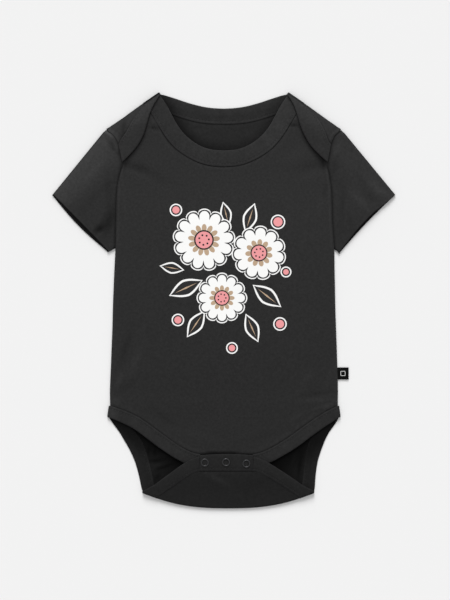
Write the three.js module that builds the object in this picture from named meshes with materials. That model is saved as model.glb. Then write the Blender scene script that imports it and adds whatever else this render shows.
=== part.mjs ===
import * as THREE from 'three';
import { mergeVertices } from 'three/addons/utils/BufferGeometryUtils.js';

// A baby's short-sleeved bodysuit with envelope shoulders, lying flat on its back, snaps fastened.
// Sizes are in millimetres: x across, y from the crotch to the neck, z up from the table.
// Left and right are those of the picture. The origin is under the middle of the garment.

const { lerp, smoothstep, clamp, degToRad } = THREE.MathUtils;

// Cloth
const CLOTH = 1.0;         // wall of one layer of jersey
const BINDING = 1.6;       // wall of a strip folded over an edge
const GAP = 0.3;           // between pieces that are sewn together or lie on each other
const CROWN = 1.8;         // how far the front rises off the back in the middle
const SNAP_SPACE = 1.8;    // what a closed snap adds between the two plackets
const TURN_STEPS = 4;      // faces round a fold

// Fold along each shoulder: a straight line from the neck to the sleeve, mirrored
const SHOULDER = { neckX: 63.2, neckY: 206.2, tipX: 116.5, tipY: 169.9 };
const SHOULDER_COLUMNS = 5;

// Neckline, from the middle to the shoulder, the same on both sides. Seam is where the binding
// meets the panel, edge is the binding's free edge.
const FRONT_NECK = [
  { seamX: 0, seamY: 133.8, edgeX: 0, edgeY: 150.0 },
  { seamX: 14, seamY: 135.0, edgeX: 11.5, edgeY: 150.9 },
  { seamX: 26.5, seamY: 138.7, edgeX: 21.5, edgeY: 153.8 },
  { seamX: 39, seamY: 145.3, edgeX: 31, edgeY: 159.2 },
  { seamX: 49, seamY: 152.9, edgeX: 38.7, edgeY: 165.8 },
  { seamX: 57.3, seamY: 162.5, edgeX: 44.8, edgeY: 173.2 },
  { seamX: 64.9, seamY: 174.0, edgeX: 50.2, edgeY: 182.3 },
  { seamX: 72.5, seamY: 186.5, edgeX: 56.5, edgeY: 194.2 },
  { seamX: 79.5, seamY: 195.1, edgeX: 64.0, edgeY: 205.6 },
];
const BACK_NECK = [
  { seamX: 0, seamY: 176.3, edgeX: 0, edgeY: 191.3 },
  { seamX: 14, seamY: 176.8, edgeX: 11.4, edgeY: 192.0 },
  { seamX: 26.5, seamY: 178.4, edgeX: 21.5, edgeY: 193.6 },
  { seamX: 39, seamY: 181.7, edgeX: 31.6, edgeY: 196.3 },
  { seamX: 49, seamY: 184.9, edgeX: 39.8, edgeY: 199.0 },
  { seamX: 57.3, seamY: 187.8, edgeX: 46.5, edgeY: 201.4 },
  { seamX: 64.9, seamY: 190.4, edgeX: 52.7, edgeY: 203.4 },
  { seamX: 72.5, seamY: 192.8, edgeX: 58.3, edgeY: 205.1 },
  { seamX: 79.5, seamY: 195.1, edgeX: 63.2, edgeY: 206.2 },
];

// Edge of each lap, from the neck fold to the armhole, and the seam of its binding
const LAP = [
  { seamX: 79.5, seamY: 195.1, edgeX: 63.2, edgeY: 206.2 },
  { seamX: 83.5, seamY: 187.0, edgeX: 69.6, edgeY: 196.0 },
  { seamX: 88.0, seamY: 179.0, edgeX: 73.6, edgeY: 185.5 },
  { seamX: 91.5, seamY: 172.6, edgeX: 76.6, edgeY: 175.2 },
  { seamX: 95.4, seamY: 166.6, edgeX: 80.6, edgeY: 164.6 },
  { seamX: 100.6, seamY: 161.2, edgeX: 88.6, edgeY: 152.0 },
];

// Sides of the front and back, from the shoulder tip down the armhole and the side seam
const SIDES = [
  { y: 169.9, left: -116.5, right: 116.5 },
  { y: 164, left: -110.9, right: 110.3 },
  { y: 156, left: -107.2, right: 106.4 },
  { y: 147, left: -105.0, right: 104.7 },
  { y: 138, left: -103.9, right: 104.2 },
  { y: 125, left: -104.8, right: 104.4 },
  { y: 111, left: -106.2, right: 105.8 },
  { y: 96, left: -107.3, right: 107.9 },
  { y: 81, left: -107.8, right: 109.3 },
  { y: 67, left: -108.1, right: 110.1 },
  { y: 53, left: -108.3, right: 110.5 },
  { y: 32, left: -109.3, right: 110.8 },
  { y: 12, left: -110.2, right: 111.2 },
  { y: -8, left: -110.9, right: 111.6 },
  { y: -28, left: -111.4, right: 112.3 },
  { y: -48, left: -112.2, right: 113.0 },
  { y: -66, left: -112.9, right: 113.6 },
  { y: -80, left: -113.5, right: 114.0 },
  { y: -92, left: -113.9, right: 114.2 },
];
const UNDERARM_ROW = 10;   // row of SIDES where the armhole ends and the side seam starts
const LAP_END_ROW = 4;     // row of SIDES where the lap's edge meets the armhole

// Leg edge of the front, from the side seam to the snap placket. Distances to either side
// of the garment's middle, which sways to the right below the hips.
const FRONT_LEG = [
  { seamX: 113.7, seamY: -105.5, edgeX: 115.3, edgeY: -117.0, sway: 0.2 },
  { seamX: 101.5, seamY: -110.5, edgeX: 106.5, edgeY: -121.5, sway: 2.4 },
  { seamX: 88.2, seamY: -117.5, edgeX: 94.3, edgeY: -128.4, sway: 4.0 },
  { seamX: 74.3, seamY: -127.3, edgeX: 81.8, edgeY: -137.5, sway: 4.0 },
  { seamX: 61.7, seamY: -136.5, edgeX: 69.9, edgeY: -146.5, sway: 3.9 },
  { seamX: 50.3, seamY: -144.2, edgeX: 57.1, edgeY: -154.8, sway: 3.4 },
  { seamX: 40.9, seamY: -149.4, edgeX: 46.6, edgeY: -160.8, sway: 3.0 },
  { seamX: 33.0, seamY: -152.6, edgeX: 36.5, edgeY: -165.6, sway: 2.8 },
  { seamX: 26.3, seamY: -154.0, edgeX: 26.9, edgeY: -169.7, sway: 2.8 },
];

// Leg edge of the back, from the side seam to the fold at the crotch. Dip is how far the
// middle of a row lies below its ends.
const BACK_LEG = [
  { seamX: 113.7, seamY: -105.5, edgeX: 115.3, edgeY: -117.0, sway: 0.2, dip: 0 },
  { seamX: 104.5, seamY: -115.0, edgeX: 111.2, edgeY: -123.6, sway: 0.4, dip: 0 },
  { seamX: 95.4, seamY: -124.0, edgeX: 105.3, edgeY: -131.6, sway: 0.5, dip: 0.3 },
  { seamX: 88.8, seamY: -132.7, edgeX: 100.8, edgeY: -139.6, sway: 0.8, dip: 0.8 },
  { seamX: 83.8, seamY: -141.5, edgeX: 96.0, edgeY: -149.6, sway: 1.7, dip: 1.6 },
  { seamX: 80.3, seamY: -151.5, edgeX: 92.1, edgeY: -159.6, sway: 2.4, dip: 2.6 },
  { seamX: 77.8, seamY: -162.0, edgeX: 89.6, edgeY: -169.6, sway: 3.1, dip: 4.0 },
  { seamX: 75.9, seamY: -173.0, edgeX: 87.9, edgeY: -179.6, sway: 3.8, dip: 5.6 },
  { seamX: 74.0, seamY: -184.5, edgeX: 86.9, edgeY: -187.0, sway: 4.3, dip: 7.2 },
  { seamX: 71.0, seamY: -196.6, edgeX: 86.0, edgeY: -190.7, sway: 4.6, dip: 9.1 },
];

// Upper edge of the flap, from the fold at the crotch to the snap placket
const FLAP = [
  { seamX: 71.0, seamY: -196.6, edgeX: 86.0, edgeY: -190.7, sway: 4.6, dip: 9.1 },
  { seamX: 61.5, seamY: -190.2, edgeX: 74.9, edgeY: -184.9, sway: 4.4, dip: 8.6 },
  { seamX: 52.6, seamY: -184.2, edgeX: 65.0, edgeY: -177.8, sway: 4.2, dip: 7.8 },
  { seamX: 44.0, seamY: -178.6, edgeX: 55.0, edgeY: -170.8, sway: 3.7, dip: 6.0 },
  { seamX: 35.6, seamY: -173.6, edgeX: 45.2, edgeY: -164.2, sway: 3.1, dip: 3.8 },
  { seamX: 30.6, seamY: -171.4, edgeX: 36.4, edgeY: -159.2, sway: 2.9, dip: 1.6 },
  { seamX: 26.3, seamY: -170.4, edgeX: 27.2, edgeY: -156.0, sway: 2.8, dip: 0.4 },
];
const FOLD_ROUNDING = 2.6;  // power of the curve of the crotch fold
const PLACKET_HALF = 26.0;
const PLACKET = { top: -154.5, middle: -162.0, bottom: -169.6 };
const PLACKET_ARCH = 1.2;     // how far the middle of the flap's placket bows up
const PLACKET_COLUMNS = 8;

// Sleeves. The hem runs from the outer corner to the tip beside the underarm.
const SLEEVES = [
  { side: -1, outer: [-171.0, 104.6], tip: [-116.3, 48.8], bow: 1.6, setBack: 3.0 },
  { side: 1, outer: [171.0, 104.9], tip: [115.9, 47.4], bow: -1.9, setBack: 1.4 },
];
const SLEEVE_RINGS = 7;
const SLEEVE_GAPE = 1.4;    // how far the hem's two layers part in the middle
const SLEEVE_CROWN = 1.2;
const SLEEVE_TOP_TURN = [0.775, 0.632];
const SLEEVE_UNDER_TURN = [0.3, -0.95];

// Largest soft folds of the upper layer: middle, turn in degrees, half length, half width, height
const FOLDS = [
  { x: -84, y: 128, turn: -28, length: 17, width: 6, height: 0.9 },
  { x: 88, y: 127, turn: 21, length: 19, width: 6, height: 0.9 },
  { x: -99, y: -78, turn: 108, length: 20, width: 5, height: 0.7 },
  { x: 89, y: -88, turn: 6, length: 22, width: 5, height: 0.8 },
  { x: -134, y: 118, turn: 46, length: 24, width: 6, height: 0.8 },
  { x: 137, y: 112, turn: -40, length: 22, width: 7, height: 0.8 },
  { x: 118, y: 88, turn: 78, length: 26, width: 5, height: 0.6 },
  { x: -119, y: 84, turn: 98, length: 24, width: 5, height: -0.5 },
];

// Snaps, on the middle line of the placket
const SNAP_X = [-18.9, 2.3, 22.6];
const SNAP_Y = [-161.9, -161.5, -162.9];
const RING = { outer: 4.25, inner: 2.35, height: 1.0 };
const SOCKET = { outer: 4.0, inner: 2.3, height: 0.7 };
const STUD = { outer: 4.0, nib: 1.6, flange: 0.5, height: 1.3 };
const RING_SEGMENTS = 24;
const HIDDEN_SEGMENTS = 16;

const LABEL = { left: 114.3, right: 124.9, top: -67.2, bottom: -79.2, z: 0.6, wall: 1.0 };

const jersey = new THREE.MeshStandardMaterial({ color: 0x2f2f31, roughness: 0.92 });
const rib = new THREE.MeshStandardMaterial({ color: 0x343436, roughness: 0.9 });
const snapMetal = new THREE.MeshStandardMaterial({ color: 0x2a2a2c, roughness: 0.45, metalness: 0.6 });
const woven = new THREE.MeshStandardMaterial({ color: 0x111112, roughness: 0.7 });

const at = (x, y, z) => new THREE.Vector3(x, y, z);

// Value of one column of a table at a place between its rows
function between(table, key, place, column) {
  const sign = Math.sign(table.at(-1)[key] - table[0][key]);
  let next = 1;
  while (next < table.length - 1 && (table[next][key] - place) * sign < 0) next += 1;
  const from = table[next - 1];
  const to = table[next];
  const share = clamp((place - from[key]) / (to[key] - from[key]), 0, 1);
  return lerp(from[column], to[column], share);
}

// Heights of the layers, from the table up

function foldHeight(x, y) {
  let height = 0;
  for (const fold of FOLDS) {
    const turn = degToRad(fold.turn);
    const along = (x - fold.x) * Math.cos(turn) + (y - fold.y) * Math.sin(turn);
    const across = (y - fold.y) * Math.cos(turn) - (x - fold.x) * Math.sin(turn);
    height += fold.height * Math.exp(-((along / fold.length) ** 2) - (across / fold.width) ** 2);
  }
  return height;
}

// One where the bindings of the front and back neck cross, nought away from there
function nearNeck(x, y) {
  return (1 - smoothstep(Math.abs(x), 80, 105)) * smoothstep(y, 150, 185);
}

// Underside of the front, which lies on the back and on the back's bindings
function frontUnder(x, y) {
  const legs = 1 - smoothstep(y, -105, -88);
  const across = 1 - Math.min(1, Math.abs(x / 112)) ** 3;
  const crown = CROWN * across * smoothstep(y, -125, -55) * (1 - smoothstep(y, 70, 128));
  const bindings = (BINDING - CLOTH) * Math.max(nearNeck(x, y), legs);
  return CLOTH + GAP + bindings + crown + foldHeight(x, y);
}

// Underside of the laps, which lie on the front and on its neck binding
function lapUnder(x, y) {
  return frontUnder(x, y) + CLOTH + GAP + (BINDING - CLOTH) * nearNeck(x, y);
}

// Underside of the flap, which rises from the crotch fold to the height of the snaps
function flapUnder(x, y) {
  return frontUnder(x, y) + BINDING + GAP + SNAP_SPACE * smoothstep(y, -196, -168);
}

const onTable = () => 0;

// Columns of a panel, as shares of its half width: first those of the neck, then the shoulder

const neckShares = FRONT_NECK.map((row) => row.seamX / SHOULDER.tipX);
const shoulderShares = Array.from({ length: SHOULDER_COLUMNS }, (_, i) =>
  lerp(neckShares.at(-1), 1, (i + 1) / SHOULDER_COLUMNS));
const halfShares = [...neckShares, ...shoulderShares];
const columns = [...halfShares.slice(1).reverse().map((share) => -share), ...halfShares];
const NECK_COLUMNS = neckShares.length;
const MIDDLE = halfShares.length - 1;

const shoulderY = (x) => lerp(SHOULDER.neckY, SHOULDER.tipY,
  (Math.abs(x) - SHOULDER.neckX) / (SHOULDER.tipX - SHOULDER.neckX));

// Top edge of a panel: its neck seam, and the fold of the shoulder beside it
function topEdge(neck) {
  return columns.map((share, i) => {
    const fromMiddle = Math.abs(i - MIDDLE);
    const x = share * SHOULDER.tipX;
    return fromMiddle < NECK_COLUMNS - 1 ? neck[fromMiddle].seamY : shoulderY(x);
  });
}

// Rows of points from the top edge down the armholes and the side seams
function bodyRows(neck) {
  const top = topEdge(neck);
  const underarm = SIDES[UNDERARM_ROW].y;
  return SIDES.map((side) => {
    const middle = (side.left + side.right) / 2;
    const half = (side.right - side.left) / 2;
    const rise = (side.y - underarm) / (SHOULDER.tipY - underarm);
    return columns.map((share, i) => ({
      x: middle + share * half,
      y: rise > 0 ? lerp(underarm, top[i], rise) : side.y,
    }));
  });
}

// A row of a panel between two ends of a leg table, with its middle lower than its ends
function dippedRow(row) {
  return columns.map((share) => ({
    x: row.sway + share * row.seamX,
    y: row.seamY - row.dip * (1 - Math.abs(share) ** FOLD_ROUNDING),
  }));
}

// Gives each point of a row the height of a layer's middle
function layer(row, under, wall) {
  return row.map(({ x, y }) => at(x, y, under(x, y) + wall / 2));
}

// Points of a row turned over a fold, from the lower layer to the upper one. The way out is
// a direction in the plane of the table.
function turnOver(lower, upper, wayOut) {
  const rows = [];
  for (let step = 1; step < TURN_STEPS; step += 1) {
    const angle = (Math.PI * step) / TURN_STEPS;
    rows.push(lower.map((low, i) => {
      const radius = (upper[i].z - low.z) / 2;
      const out = radius * Math.sin(angle);
      return at(low.x + wayOut[0] * out, low.y + wayOut[1] * out,
        low.z + radius * (1 - Math.cos(angle)));
    }));
  }
  return rows;
}

// Makes a closed wall of cloth from patches of points. Patches that share points are joined.
// Each point goes half the wall's thickness both ways along the surface's normal.
function cloth(name, patches, wall, material) {
  const points = [];
  const known = new Map();
  const indexOf = (point) => {
    const key = point.toArray().map((value) => value.toFixed(3)).join(' ');
    if (!known.has(key)) {
      known.set(key, points.length);
      points.push(point);
    }
    return known.get(key);
  };

  const triangles = [];
  const addTriangle = (a, b, c) => {
    if (a !== b && b !== c && c !== a) triangles.push([a, b, c]);
  };
  for (const rows of patches) {
    const index = rows.map((row) => row.map(indexOf));
    for (let r = 0; r < rows.length - 1; r += 1) {
      for (let c = 0; c < rows[r].length - 1; c += 1) {
        addTriangle(index[r][c], index[r + 1][c], index[r + 1][c + 1]);
        addTriangle(index[r][c], index[r + 1][c + 1], index[r][c + 1]);
      }
    }
  }

  const normals = points.map(() => at(0, 0, 0));
  const edges = new Map();
  for (const [a, b, c] of triangles) {
    const along = points[b].clone().sub(points[a]);
    const normal = along.cross(points[c].clone().sub(points[a]));
    for (const corner of [a, b, c]) normals[corner].add(normal);
    for (const [from, to] of [[a, b], [b, c], [c, a]]) edges.set(`${from} ${to}`, [from, to]);
  }

  const count = points.length;
  const positions = [];
  for (const way of [1, -1]) {
    points.forEach((point, i) => {
      const shift = normals[i].clone().setLength((way * wall) / 2);
      positions.push(...point.clone().add(shift).toArray());
    });
  }
  const faces = [];
  for (const [a, b, c] of triangles) {
    faces.push(a, b, c);
    faces.push(a + count, c + count, b + count);
  }
  for (const [from, to] of edges.values()) {
    if (!edges.has(`${to} ${from}`)) {
      faces.push(to, from, from + count);
      faces.push(to, from + count, to + count);
    }
  }

  const geometry = new THREE.BufferGeometry();
  geometry.setAttribute('position', new THREE.Float32BufferAttribute(positions, 3));
  geometry.setIndex(faces);
  geometry.computeVertexNormals();
  const mesh = new THREE.Mesh(geometry, material);
  mesh.name = name;
  return mesh;
}

// A row across a binding, from its free edge to just short of its seam
function acrossBinding(edge, seam, under) {
  const width = Math.hypot(edge.x - seam.x, edge.y - seam.y);
  const near = { x: lerp(seam.x, edge.x, GAP / width), y: lerp(seam.y, edge.y, GAP / width) };
  const middle = { x: (edge.x + near.x) / 2, y: (edge.y + near.y) / 2 };
  return layer([edge, middle, near], under, BINDING);
}

// Rows of a binding along one table of seam and edge, on one side of the garment
function bindingRows(table, side, under) {
  return table.map((row) => {
    const sway = row.sway ?? 0;
    const edge = { x: sway + side * row.edgeX, y: row.edgeY };
    const seam = { x: sway + side * row.seamX, y: row.seamY };
    return acrossBinding(edge, seam, under);
  });
}

// Front

// Lower edge of the front: the seams of the leg bindings, and the placket between them
function crotchEdge() {
  const half = FRONT_LEG[0].seamX;
  return columns.map((share) => {
    const fromMiddle = Math.abs(share) * half;
    const sway = between(FRONT_LEG, 'seamX', fromMiddle, 'sway');
    return { x: sway + share * half, y: between(FRONT_LEG, 'seamX', fromMiddle, 'seamY') };
  });
}

const CROTCH_ROWS = 6;

function frontPanel() {
  const rows = bodyRows(FRONT_NECK);
  const hips = rows.at(-1);
  const lowest = crotchEdge();
  for (let r = 1; r <= CROTCH_ROWS; r += 1) {
    const fall = r / CROTCH_ROWS;
    rows.push(hips.map((point, i) => ({
      x: lerp(point.x, lowest[i].x, fall),
      y: lerp(point.y, lowest[i].y, fall),
    })));
  }
  const patch = rows.map((row) => layer(row, frontUnder, CLOTH));
  return cloth('front_panel', [patch], CLOTH, jersey);
}

function frontNeckBinding() {
  const left = bindingRows(FRONT_NECK, -1, frontUnder).reverse();
  const right = bindingRows(FRONT_NECK, 1, frontUnder).slice(1);
  return cloth('neck_binding_front', [[...left, ...right]], BINDING, rib);
}

// Back

const shoulderOut = (side) => {
  const along = new THREE.Vector2(SHOULDER.tipX - SHOULDER.neckX, SHOULDER.tipY - SHOULDER.neckY);
  along.normalize();
  return [side * -along.y, along.x];
};

// The lap of one side: the shoulder's row turned over its fold and carried to the lap's seam
function lapPatch(side, topRow) {
  const start = side < 0 ? 0 : MIDDLE + NECK_COLUMNS - 1;
  const fold = topRow.slice(start, start + SHOULDER_COLUMNS + 1);
  const fromTip = side < 0 ? fold : [...fold].reverse();
  const seam = LAP.slice().reverse();
  const armhole = SIDES.slice(0, 3).map((row) => ({ x: side < 0 ? row.left : row.right, y: row.y }));
  const lapRow = (share) => fromTip.map((point, i) => {
    const corner = armhole[Math.round(share * 2)];
    const lastSeam = i === 0 ? armhole[2] : { x: side * seam[i].seamX, y: seam[i].seamY };
    const shift = 1 - i / SHOULDER_COLUMNS;
    const straight = { x: lerp(point.x, lastSeam.x, share), y: lerp(point.y, lastSeam.y, share) };
    const bowX = corner.x - lerp(fromTip[0].x, armhole[2].x, share);
    const bowY = corner.y - lerp(fromTip[0].y, armhole[2].y, share);
    return { x: straight.x + bowX * shift, y: straight.y + bowY * shift };
  });
  const upper = [0, 0.5, 1].map((share) => layer(lapRow(share), lapUnder, CLOTH));
  const turned = turnOver(fromTip, upper[0], shoulderOut(side));
  const rows = [...upper.reverse(), ...turned.reverse(), fromTip];
  return side < 0 ? rows : rows.map((row) => [...row].reverse());
}

function backPanel() {
  const rows = bodyRows(BACK_NECK).map((row) => layer(row, onTable, CLOTH));
  rows.push(...BACK_LEG.map((row) => layer(dippedRow(row), onTable, CLOTH)));
  const flap = FLAP.map((row) => layer(dippedRow(row), flapUnder, CLOTH));
  rows.push(...turnOver(rows.at(-1), flap[0], [0, -1]), ...flap);
  const laps = [-1, 1].map((side) => lapPatch(side, rows[0]));
  return cloth('back_panel', [rows, ...laps], CLOTH, jersey);
}

// One strip: the left lap's edge, over the fold, the back neck, over the fold, the right lap
function backNeckBinding() {
  const halves = [-1, 1].map((side) => {
    const end = SIDES[LAP_END_ROW];
    const armhole = [4, 3, 2].map((r) => ({ x: side < 0 ? SIDES[r].left : SIDES[r].right, y: SIDES[r].y }));
    const last = layer(armhole, lapUnder, BINDING);
    const lap = bindingRows(LAP, side, lapUnder);
    const neck = bindingRows(BACK_NECK, side, onTable);
    const turned = turnOver(neck.at(-1), lap[0], shoulderOut(side));
    return [...neck, ...turned, ...lap, last];
  });
  const rows = [...halves[0].reverse(), ...halves[1].slice(1)];
  return cloth('neck_binding_back', [rows], BINDING, rib);
}

// Leg bindings: front leg edge, round the side seam, back leg edge, over the crotch fold and
// along the flap's edge

function legBinding(name, side) {
  const half = FRONT_LEG[0].seamX;
  const front = columns
    .filter((share) => share * side > 0)
    .map((share) => Math.abs(share) * half)
    .filter((x) => x >= PLACKET_HALF)
    .sort((a, b) => a - b)
    .map((x) => {
      const row = { seamX: x };
      for (const column of ['seamY', 'edgeX', 'edgeY', 'sway']) {
        row[column] = between(FRONT_LEG, 'seamX', x, column);
      }
      return row;
    });
  const frontRows = bindingRows(front, side, frontUnder);
  const backRows = bindingRows(BACK_LEG, side, onTable);
  const flapRows = bindingRows(FLAP, side, flapUnder);
  const roundSide = turnOver(backRows[0], frontRows.at(-1), [side, 0]).reverse();
  const overFold = turnOver(backRows.at(-1), flapRows[0], [0, -1]);
  const rows = [...frontRows, ...roundSide, ...backRows, ...overFold, ...flapRows];
  return cloth(name, [rows], BINDING, rib);
}

// Snap plackets

function placket(name, under, arch) {
  const sway = FLAP.at(-1).sway;
  const rows = [PLACKET.top, PLACKET.middle, PLACKET.bottom].map((y, r) =>
    Array.from({ length: PLACKET_COLUMNS + 1 }, (_, c) => {
      const share = (2 * c) / PLACKET_COLUMNS - 1;
      const bow = arch * (1 - r / 2) * (1 - share ** 2);
      return { x: sway + share * PLACKET_HALF, y: y + bow };
    }));
  const patch = rows.map((row) => layer(row, under, BINDING));
  return cloth(name, [patch], BINDING, rib);
}

// Snaps: turned parts that stand on a placket

function turned(name, profile, segments, x, y, z) {
  const points = profile.map(([radius, height]) => new THREE.Vector2(radius, height));
  const lathe = new THREE.LatheGeometry(points, segments);
  lathe.deleteAttribute('normal');
  lathe.deleteAttribute('uv');
  const geometry = mergeVertices(lathe);
  geometry.computeVertexNormals();
  const mesh = new THREE.Mesh(geometry, snapMetal);
  mesh.name = name;
  mesh.rotation.x = Math.PI / 2;
  mesh.position.set(x, y, z);
  return mesh;
}

function snap(number, x, y) {
  const caseTop = flapUnder(x, y) + BINDING + GAP;
  const middle = (RING.outer + RING.inner) / 2;
  const ring = turned(`snap_ring_${number}`, [
    [RING.inner, 0],
    [RING.outer, 0],
    [RING.outer, RING.height * 0.5],
    [middle, RING.height],
    [RING.inner, RING.height * 0.5],
    [RING.inner, 0],
  ], RING_SEGMENTS, x, y, caseTop);
  const socket = turned(`snap_socket_${number}`, [
    [SOCKET.inner, 0],
    [SOCKET.outer, 0],
    [SOCKET.outer, SOCKET.height],
    [SOCKET.inner, SOCKET.height],
    [SOCKET.inner, 0],
  ], HIDDEN_SEGMENTS, x, y, flapUnder(x, y) - GAP - SOCKET.height);
  const stud = turned(`snap_stud_${number}`, [
    [0, 0],
    [STUD.outer, 0],
    [STUD.outer, STUD.flange],
    [STUD.nib, STUD.flange],
    [STUD.nib, STUD.height],
    [0, STUD.height],
  ], HIDDEN_SEGMENTS, x, y, frontUnder(x, y) + BINDING + GAP);
  return [ring, socket, stud];
}

// Sleeves: flat tubes, as rings from the armhole to the hem

function sleeve(name, { side, outer, tip, bow, setBack }) {
  const rows = SIDES.slice(0, UNDERARM_ROW + 1);
  const armhole = rows.map((row) => new THREE.Vector2(side < 0 ? row.left : row.right, row.y));
  const outOfArmhole = armhole.map((_, i) => {
    const along = armhole[Math.min(i + 1, armhole.length - 1)].clone().sub(armhole[Math.max(i - 1, 0)]);
    return new THREE.Vector2(-along.y * side, along.x * side).normalize();
  });
  const hemStart = new THREE.Vector2(...outer);
  const hemEnd = new THREE.Vector2(...tip);
  const hemOut = new THREE.Vector2(side, -1).normalize();
  const topTurn = [side * SLEEVE_TOP_TURN[0], SLEEVE_TOP_TURN[1]];
  const underTurn = [side * SLEEVE_UNDER_TURN[0], SLEEVE_UNDER_TURN[1]];

  // A point of the sleeve, away from the armhole by a share and down its side by another
  const place = (i, away, short) => {
    const down = (armhole[0].y - armhole[i].y) / (armhole[0].y - armhole.at(-1).y);
    const round = Math.sin(Math.PI * down);
    const start = armhole[i].clone().addScaledVector(outOfArmhole[i], GAP * 1.2);
    const hem = hemStart.clone().lerp(hemEnd, down).addScaledVector(hemOut, bow * round - short);
    return { spot: start.lerp(hem, away), round };
  };
  const lowerPoint = (i, away) => {
    const { spot } = place(i, away, 0);
    return at(spot.x, spot.y, CLOTH / 2);
  };
  const upperPoint = (i, away) => {
    const { spot, round } = place(i, away, setBack);
    const { x, y } = armhole[i];
    const overLap = smoothstep(y, 118, 138);
    const seamZ = lerp(frontUnder(x, y), lapUnder(x, y), overLap) + CLOTH / 2;
    const hemZ = CLOTH * 1.5 + GAP + SLEEVE_GAPE * round;
    const crown = SLEEVE_CROWN * round * Math.sin(Math.PI * away);
    const folds = foldHeight(spot.x, spot.y) * smoothstep(away, 0, 0.3);
    return at(spot.x, spot.y, lerp(seamZ, hemZ, away) + crown + folds);
  };

  const rings = Array.from({ length: SLEEVE_RINGS }, (_, r) => {
    const away = r / (SLEEVE_RINGS - 1);
    const upper = armhole.map((_, i) => upperPoint(i, away));
    const lower = armhole.map((_, i) => lowerPoint(i, away));
    const overTop = turnOver([lower[0]], [upper[0]], topTurn).map(([point]) => point);
    const underArm = turnOver([lower.at(-1)], [upper.at(-1)], underTurn).map(([point]) => point);
    return [...upper, ...underArm.reverse(), ...lower.reverse(), ...overTop, upper[0]];
  });
  return cloth(name, [rings], CLOTH, jersey);
}

function sideLabel() {
  const { left, right, top, bottom, z, wall } = LABEL;
  const rows = [top, (top + bottom) / 2, bottom].map((y) =>
    [left, (left + right) / 2, right].map((x) => at(x, y, z)));
  return cloth('side_label', [rows], wall, woven);
}

const bodysuit = new THREE.Group();
bodysuit.add(
  backPanel(),
  frontPanel(),
  sleeve('sleeve_left', SLEEVES[0]),
  sleeve('sleeve_right', SLEEVES[1]),
  frontNeckBinding(),
  backNeckBinding(),
  legBinding('leg_binding_left', -1),
  legBinding('leg_binding_right', 1),
  placket('snap_placket_front', frontUnder, 0),
  placket('snap_placket_back', flapUnder, PLACKET_ARCH),
  sideLabel(),
);
SNAP_X.forEach((x, i) => bodysuit.add(...snap(i + 1, x, SNAP_Y[i])));

export default bodysuit;
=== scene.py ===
import math
from bisect import bisect
from collections import namedtuple

import bmesh
import bpy
from mathutils import Matrix, Vector, noise


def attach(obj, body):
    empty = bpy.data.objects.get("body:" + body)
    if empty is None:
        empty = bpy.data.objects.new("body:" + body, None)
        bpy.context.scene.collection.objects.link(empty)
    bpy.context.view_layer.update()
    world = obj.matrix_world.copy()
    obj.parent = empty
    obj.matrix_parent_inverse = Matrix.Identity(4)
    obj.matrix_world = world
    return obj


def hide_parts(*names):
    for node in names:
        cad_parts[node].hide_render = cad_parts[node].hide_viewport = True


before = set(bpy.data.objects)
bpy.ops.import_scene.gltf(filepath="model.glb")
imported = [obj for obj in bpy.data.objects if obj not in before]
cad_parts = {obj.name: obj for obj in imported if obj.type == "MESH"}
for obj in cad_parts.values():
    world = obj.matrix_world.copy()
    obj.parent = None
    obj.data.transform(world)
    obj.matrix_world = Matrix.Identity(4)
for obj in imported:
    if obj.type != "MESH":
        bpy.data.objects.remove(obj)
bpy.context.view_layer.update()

# A baby's bodysuit with envelope shoulders, laid flat on its back. The tables and the heights
# below are in millimetres, as cut; left and right are those of the picture.
MM = 0.001

# Cloth
SOLID_CLOTH = 1.0        # the frame's wall of one layer, which the shells lie in
HALF_CLOTH = SOLID_CLOTH / 2
SOLID_BINDING = 1.6
GAP = 0.3
JERSEY = 0.8             # thickness of the knit itself
CROWN = 1.8              # how far the front rises off the back in the middle
HALF_CHEST = 112
SNAP_SPACE = 1.8         # what a closed snap adds between the two plackets
FINE = 2.1               # spacing of a panel's points
TOP_PARTS = 10           # rows of the first stretch, closest at the neck's seam
TURN_STEPS = 10          # faces round a fold
HALVINGS = 14            # of a table's rows, to find a place in them

Neck = namedtuple("Neck", "seam_x seam_y edge_x edge_y")
Side = namedtuple("Side", "y left right")
Leg = namedtuple("Leg", "seam_x seam_y edge_x edge_y sway dip")
Crease = namedtuple("Crease", "x y turn length width height")

# Fold along each shoulder, from the neck to the sleeve, mirrored
SHOULDER_NECK = (63.2, 206.2)
SHOULDER_TIP = (116.5, 169.9)
SHOULDER_PARTS = [4, 4, 4, 5, 12]   # columns of the shoulder, closest at the armhole

# Necklines from the middle to the shoulder: the binding's seam and its free edge
FRONT_NECK = [
    Neck(0, 133.8, 0, 150.0),
    Neck(14, 135.0, 11.5, 150.9),
    Neck(26.5, 138.7, 21.5, 153.8),
    Neck(39, 145.3, 31, 159.2),
    Neck(49, 152.9, 38.7, 165.8),
    Neck(57.3, 162.5, 44.8, 173.2),
    Neck(64.9, 174.0, 50.2, 182.3),
    Neck(72.5, 186.5, 56.5, 194.2),
    Neck(79.5, 195.1, 64.0, 205.6),
]
BACK_NECK = [
    Neck(0, 176.4, 0, 192.0),
    Neck(14, 176.9, 11.4, 192.6),
    Neck(26.5, 178.5, 21.5, 194.1),
    Neck(39, 181.7, 31.6, 196.6),
    Neck(49, 184.9, 39.8, 199.1),
    Neck(57.3, 187.8, 46.5, 201.4),
    Neck(64.9, 190.4, 52.7, 203.4),
    Neck(72.5, 192.8, 58.3, 205.1),
    Neck(79.5, 195.1, 63.2, 206.2),
]

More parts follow.
